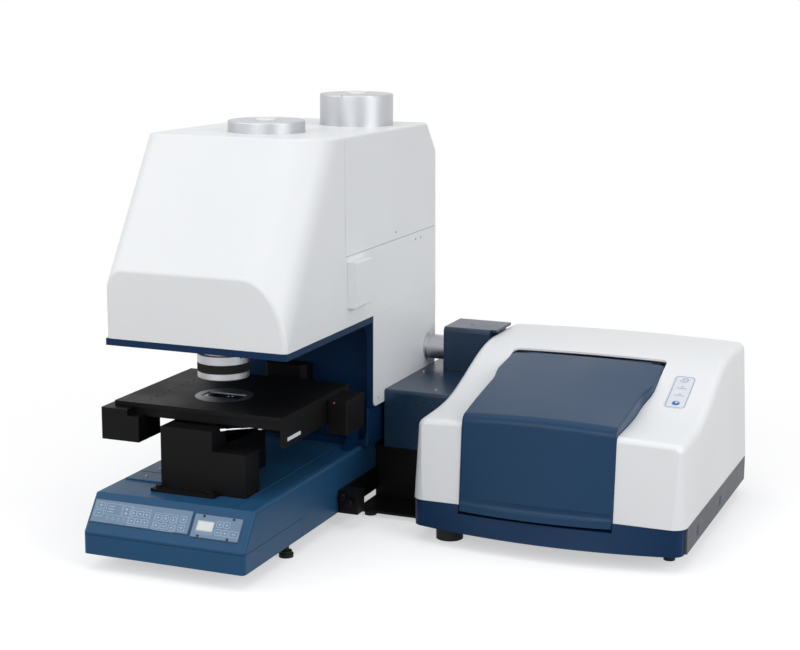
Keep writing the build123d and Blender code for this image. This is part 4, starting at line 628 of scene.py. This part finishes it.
# Objective: fine ribs around the rubber grip
low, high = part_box("objective_grip")
grip_centre = (Vector(low) + Vector(high)) / 2
ribs = bmesh.new()
GRIP_RADIUS, GRIP_BOTTOM, GRIP_TOP = 35.6, 243.0, 255.0
RIBS = 90
for rib in range(RIBS):
    angle = 2 * math.pi * rib / RIBS
    outward = Vector((math.cos(angle), math.sin(angle), 0))
    across = Vector((-outward.y, outward.x, 0))
    foot = Vector((grip_centre.x, grip_centre.y, 0)) + outward * (GRIP_RADIUS - 0.1) / 1000
    corners = []
    for height in (GRIP_BOTTOM + 1, GRIP_TOP - 1):
        for side_step, out_step in ((-0.8, 0), (0, 0.5), (0.8, 0)):
            corners.append(ribs.verts.new(
                foot + (across * side_step + outward * out_step + Vector((0, 0, height))) / 1000))
    ribs.faces.new((corners[0], corners[1], corners[4], corners[3]))
    ribs.faces.new((corners[1], corners[2], corners[5], corners[4]))
    ribs.faces.new(corners[:3])
    ribs.faces.new(corners[3:])
keep("grip_ribs", ribs, RUBBER, frame_body("objective_grip"))


# Floor, background and light

def panel_light(name, location, target, size, power):
    data = bpy.data.lights.new(name, "AREA")
    data.shape = "RECTANGLE"
    data.size, data.size_y = size
    data.energy = power
    lamp = bpy.data.objects.new(name, data)
    bpy.context.scene.collection.objects.link(lamp)
    lamp.location = location
    lamp.rotation_mode = "QUATERNION"
    lamp.rotation_quaternion = (Vector(target) - Vector(location)).to_track_quat("-Z", "Y")
    return lamp


panel_light("top_light", (0.0, -0.3, 2.6), (0.0, 0.0, 0.3), (2.6, 2.2), 15)
panel_light("front_light", (-0.3, -3.2, 1.5), (0.0, 0.0, 0.25), (2.6, 1.8), 33)
panel_light("left_light", (-2.2, -1.2, 1.6), (0.1, 0.0, 0.3), (1.8, 1.6), 14)
panel_light("right_light", (2.4, -0.8, 1.3), (0.1, 0.0, 0.3), (1.8, 1.6), 28)

world = bpy.data.worlds.new("studio")
bpy.context.scene.world = world
world.use_nodes = True
tree = world.node_tree
tree.nodes.clear()


def seen_directly(tree):
    """1 for rays from the camera, a reflection or a glass: they see the plain background."""
    path = tree.nodes.new("ShaderNodeLightPath")
    first = tree.nodes.new("ShaderNodeMath")
    first.operation = "MAXIMUM"
    tree.links.new(path.outputs["Is Camera Ray"], first.inputs[0])
    tree.links.new(path.outputs["Is Glossy Ray"], first.inputs[1])
    second = tree.nodes.new("ShaderNodeMath")
    second.operation = "MAXIMUM"
    tree.links.new(first.outputs[0], second.inputs[0])
    tree.links.new(path.outputs["Is Transmission Ray"], second.inputs[1])
    return second.outputs[0]


white_sky = tree.nodes.new("ShaderNodeBackground")
white_sky.inputs["Color"].default_value = (1, 1, 1, 1)
white_sky.inputs["Strength"].default_value = 1.0
soft_sky = tree.nodes.new("ShaderNodeBackground")
soft_sky.inputs["Color"].default_value = (0.98, 0.99, 1.0, 1)
soft_sky.inputs["Strength"].default_value = 0.45
sky = tree.nodes.new("ShaderNodeMixShader")
output = tree.nodes.new("ShaderNodeOutputWorld")
tree.links.new(seen_directly(tree), sky.inputs["Fac"])
tree.links.new(soft_sky.outputs[0], sky.inputs[1])
tree.links.new(white_sky.outputs[0], sky.inputs[2])
tree.links.new(sky.outputs[0], output.inputs["Surface"])

# The floor keeps its shadow near the object and fades to plain white away from it
FLOOR_HALF = 12
FADE_START, FADE_END = 0.55, 1.1
floor_corners = [(x * FLOOR_HALF, y * FLOOR_HALF, 0) for x, y in ((-1, -1), (1, -1), (1, 1), (-1, 1))]
floor_mesh = bpy.data.meshes.new("floor")
floor_mesh.from_pydata(floor_corners, [], [(0, 1, 2, 3)])
floor = bpy.data.objects.new("floor", floor_mesh)
bpy.context.scene.collection.objects.link(floor)
floor_material = bpy.data.materials.new("floor")
floor_material.use_nodes = True
tree = floor_material.node_tree
tree.nodes.clear()
plain = tree.nodes.new("ShaderNodeBsdfDiffuse")
plain.inputs["Color"].default_value = (0.3, 0.3, 0.3, 1)
shown = tree.nodes.new("ShaderNodeBsdfDiffuse")
shown.inputs["Color"].default_value = (0.62, 0.62, 0.63, 1)
glow = tree.nodes.new("ShaderNodeEmission")
glow.inputs["Strength"].default_value = 0.5
lit = tree.nodes.new("ShaderNodeAddShader")
clear = tree.nodes.new("ShaderNodeEmission")
clear.inputs["Strength"].default_value = 1.0
coords = tree.nodes.new("ShaderNodeTexCoord")
reach = tree.nodes.new("ShaderNodeVectorMath")
reach.operation = "LENGTH"
fade = tree.nodes.new("ShaderNodeMapRange")
fade.inputs["From Min"].default_value = FADE_START
fade.inputs["From Max"].default_value = FADE_END
near = tree.nodes.new("ShaderNodeMixShader")
tree.links.new(coords.outputs["Object"], reach.inputs[0])
tree.links.new(reach.outputs["Value"], fade.inputs["Value"])
tree.links.new(fade.outputs["Result"], near.inputs["Fac"])
pick = tree.nodes.new("ShaderNodeMixShader")
output = tree.nodes.new("ShaderNodeOutputMaterial")
tree.links.new(shown.outputs[0], lit.inputs[0])
tree.links.new(glow.outputs[0], lit.inputs[1])
tree.links.new(seen_directly(tree), pick.inputs["Fac"])
tree.links.new(plain.outputs[0], pick.inputs[1])
tree.links.new(lit.outputs[0], near.inputs[1])
tree.links.new(clear.outputs[0], near.inputs[2])
tree.links.new(near.outputs[0], pick.inputs[2])
tree.links.new(pick.outputs[0], output.inputs["Surface"])
floor_mesh.materials.append(floor_material)
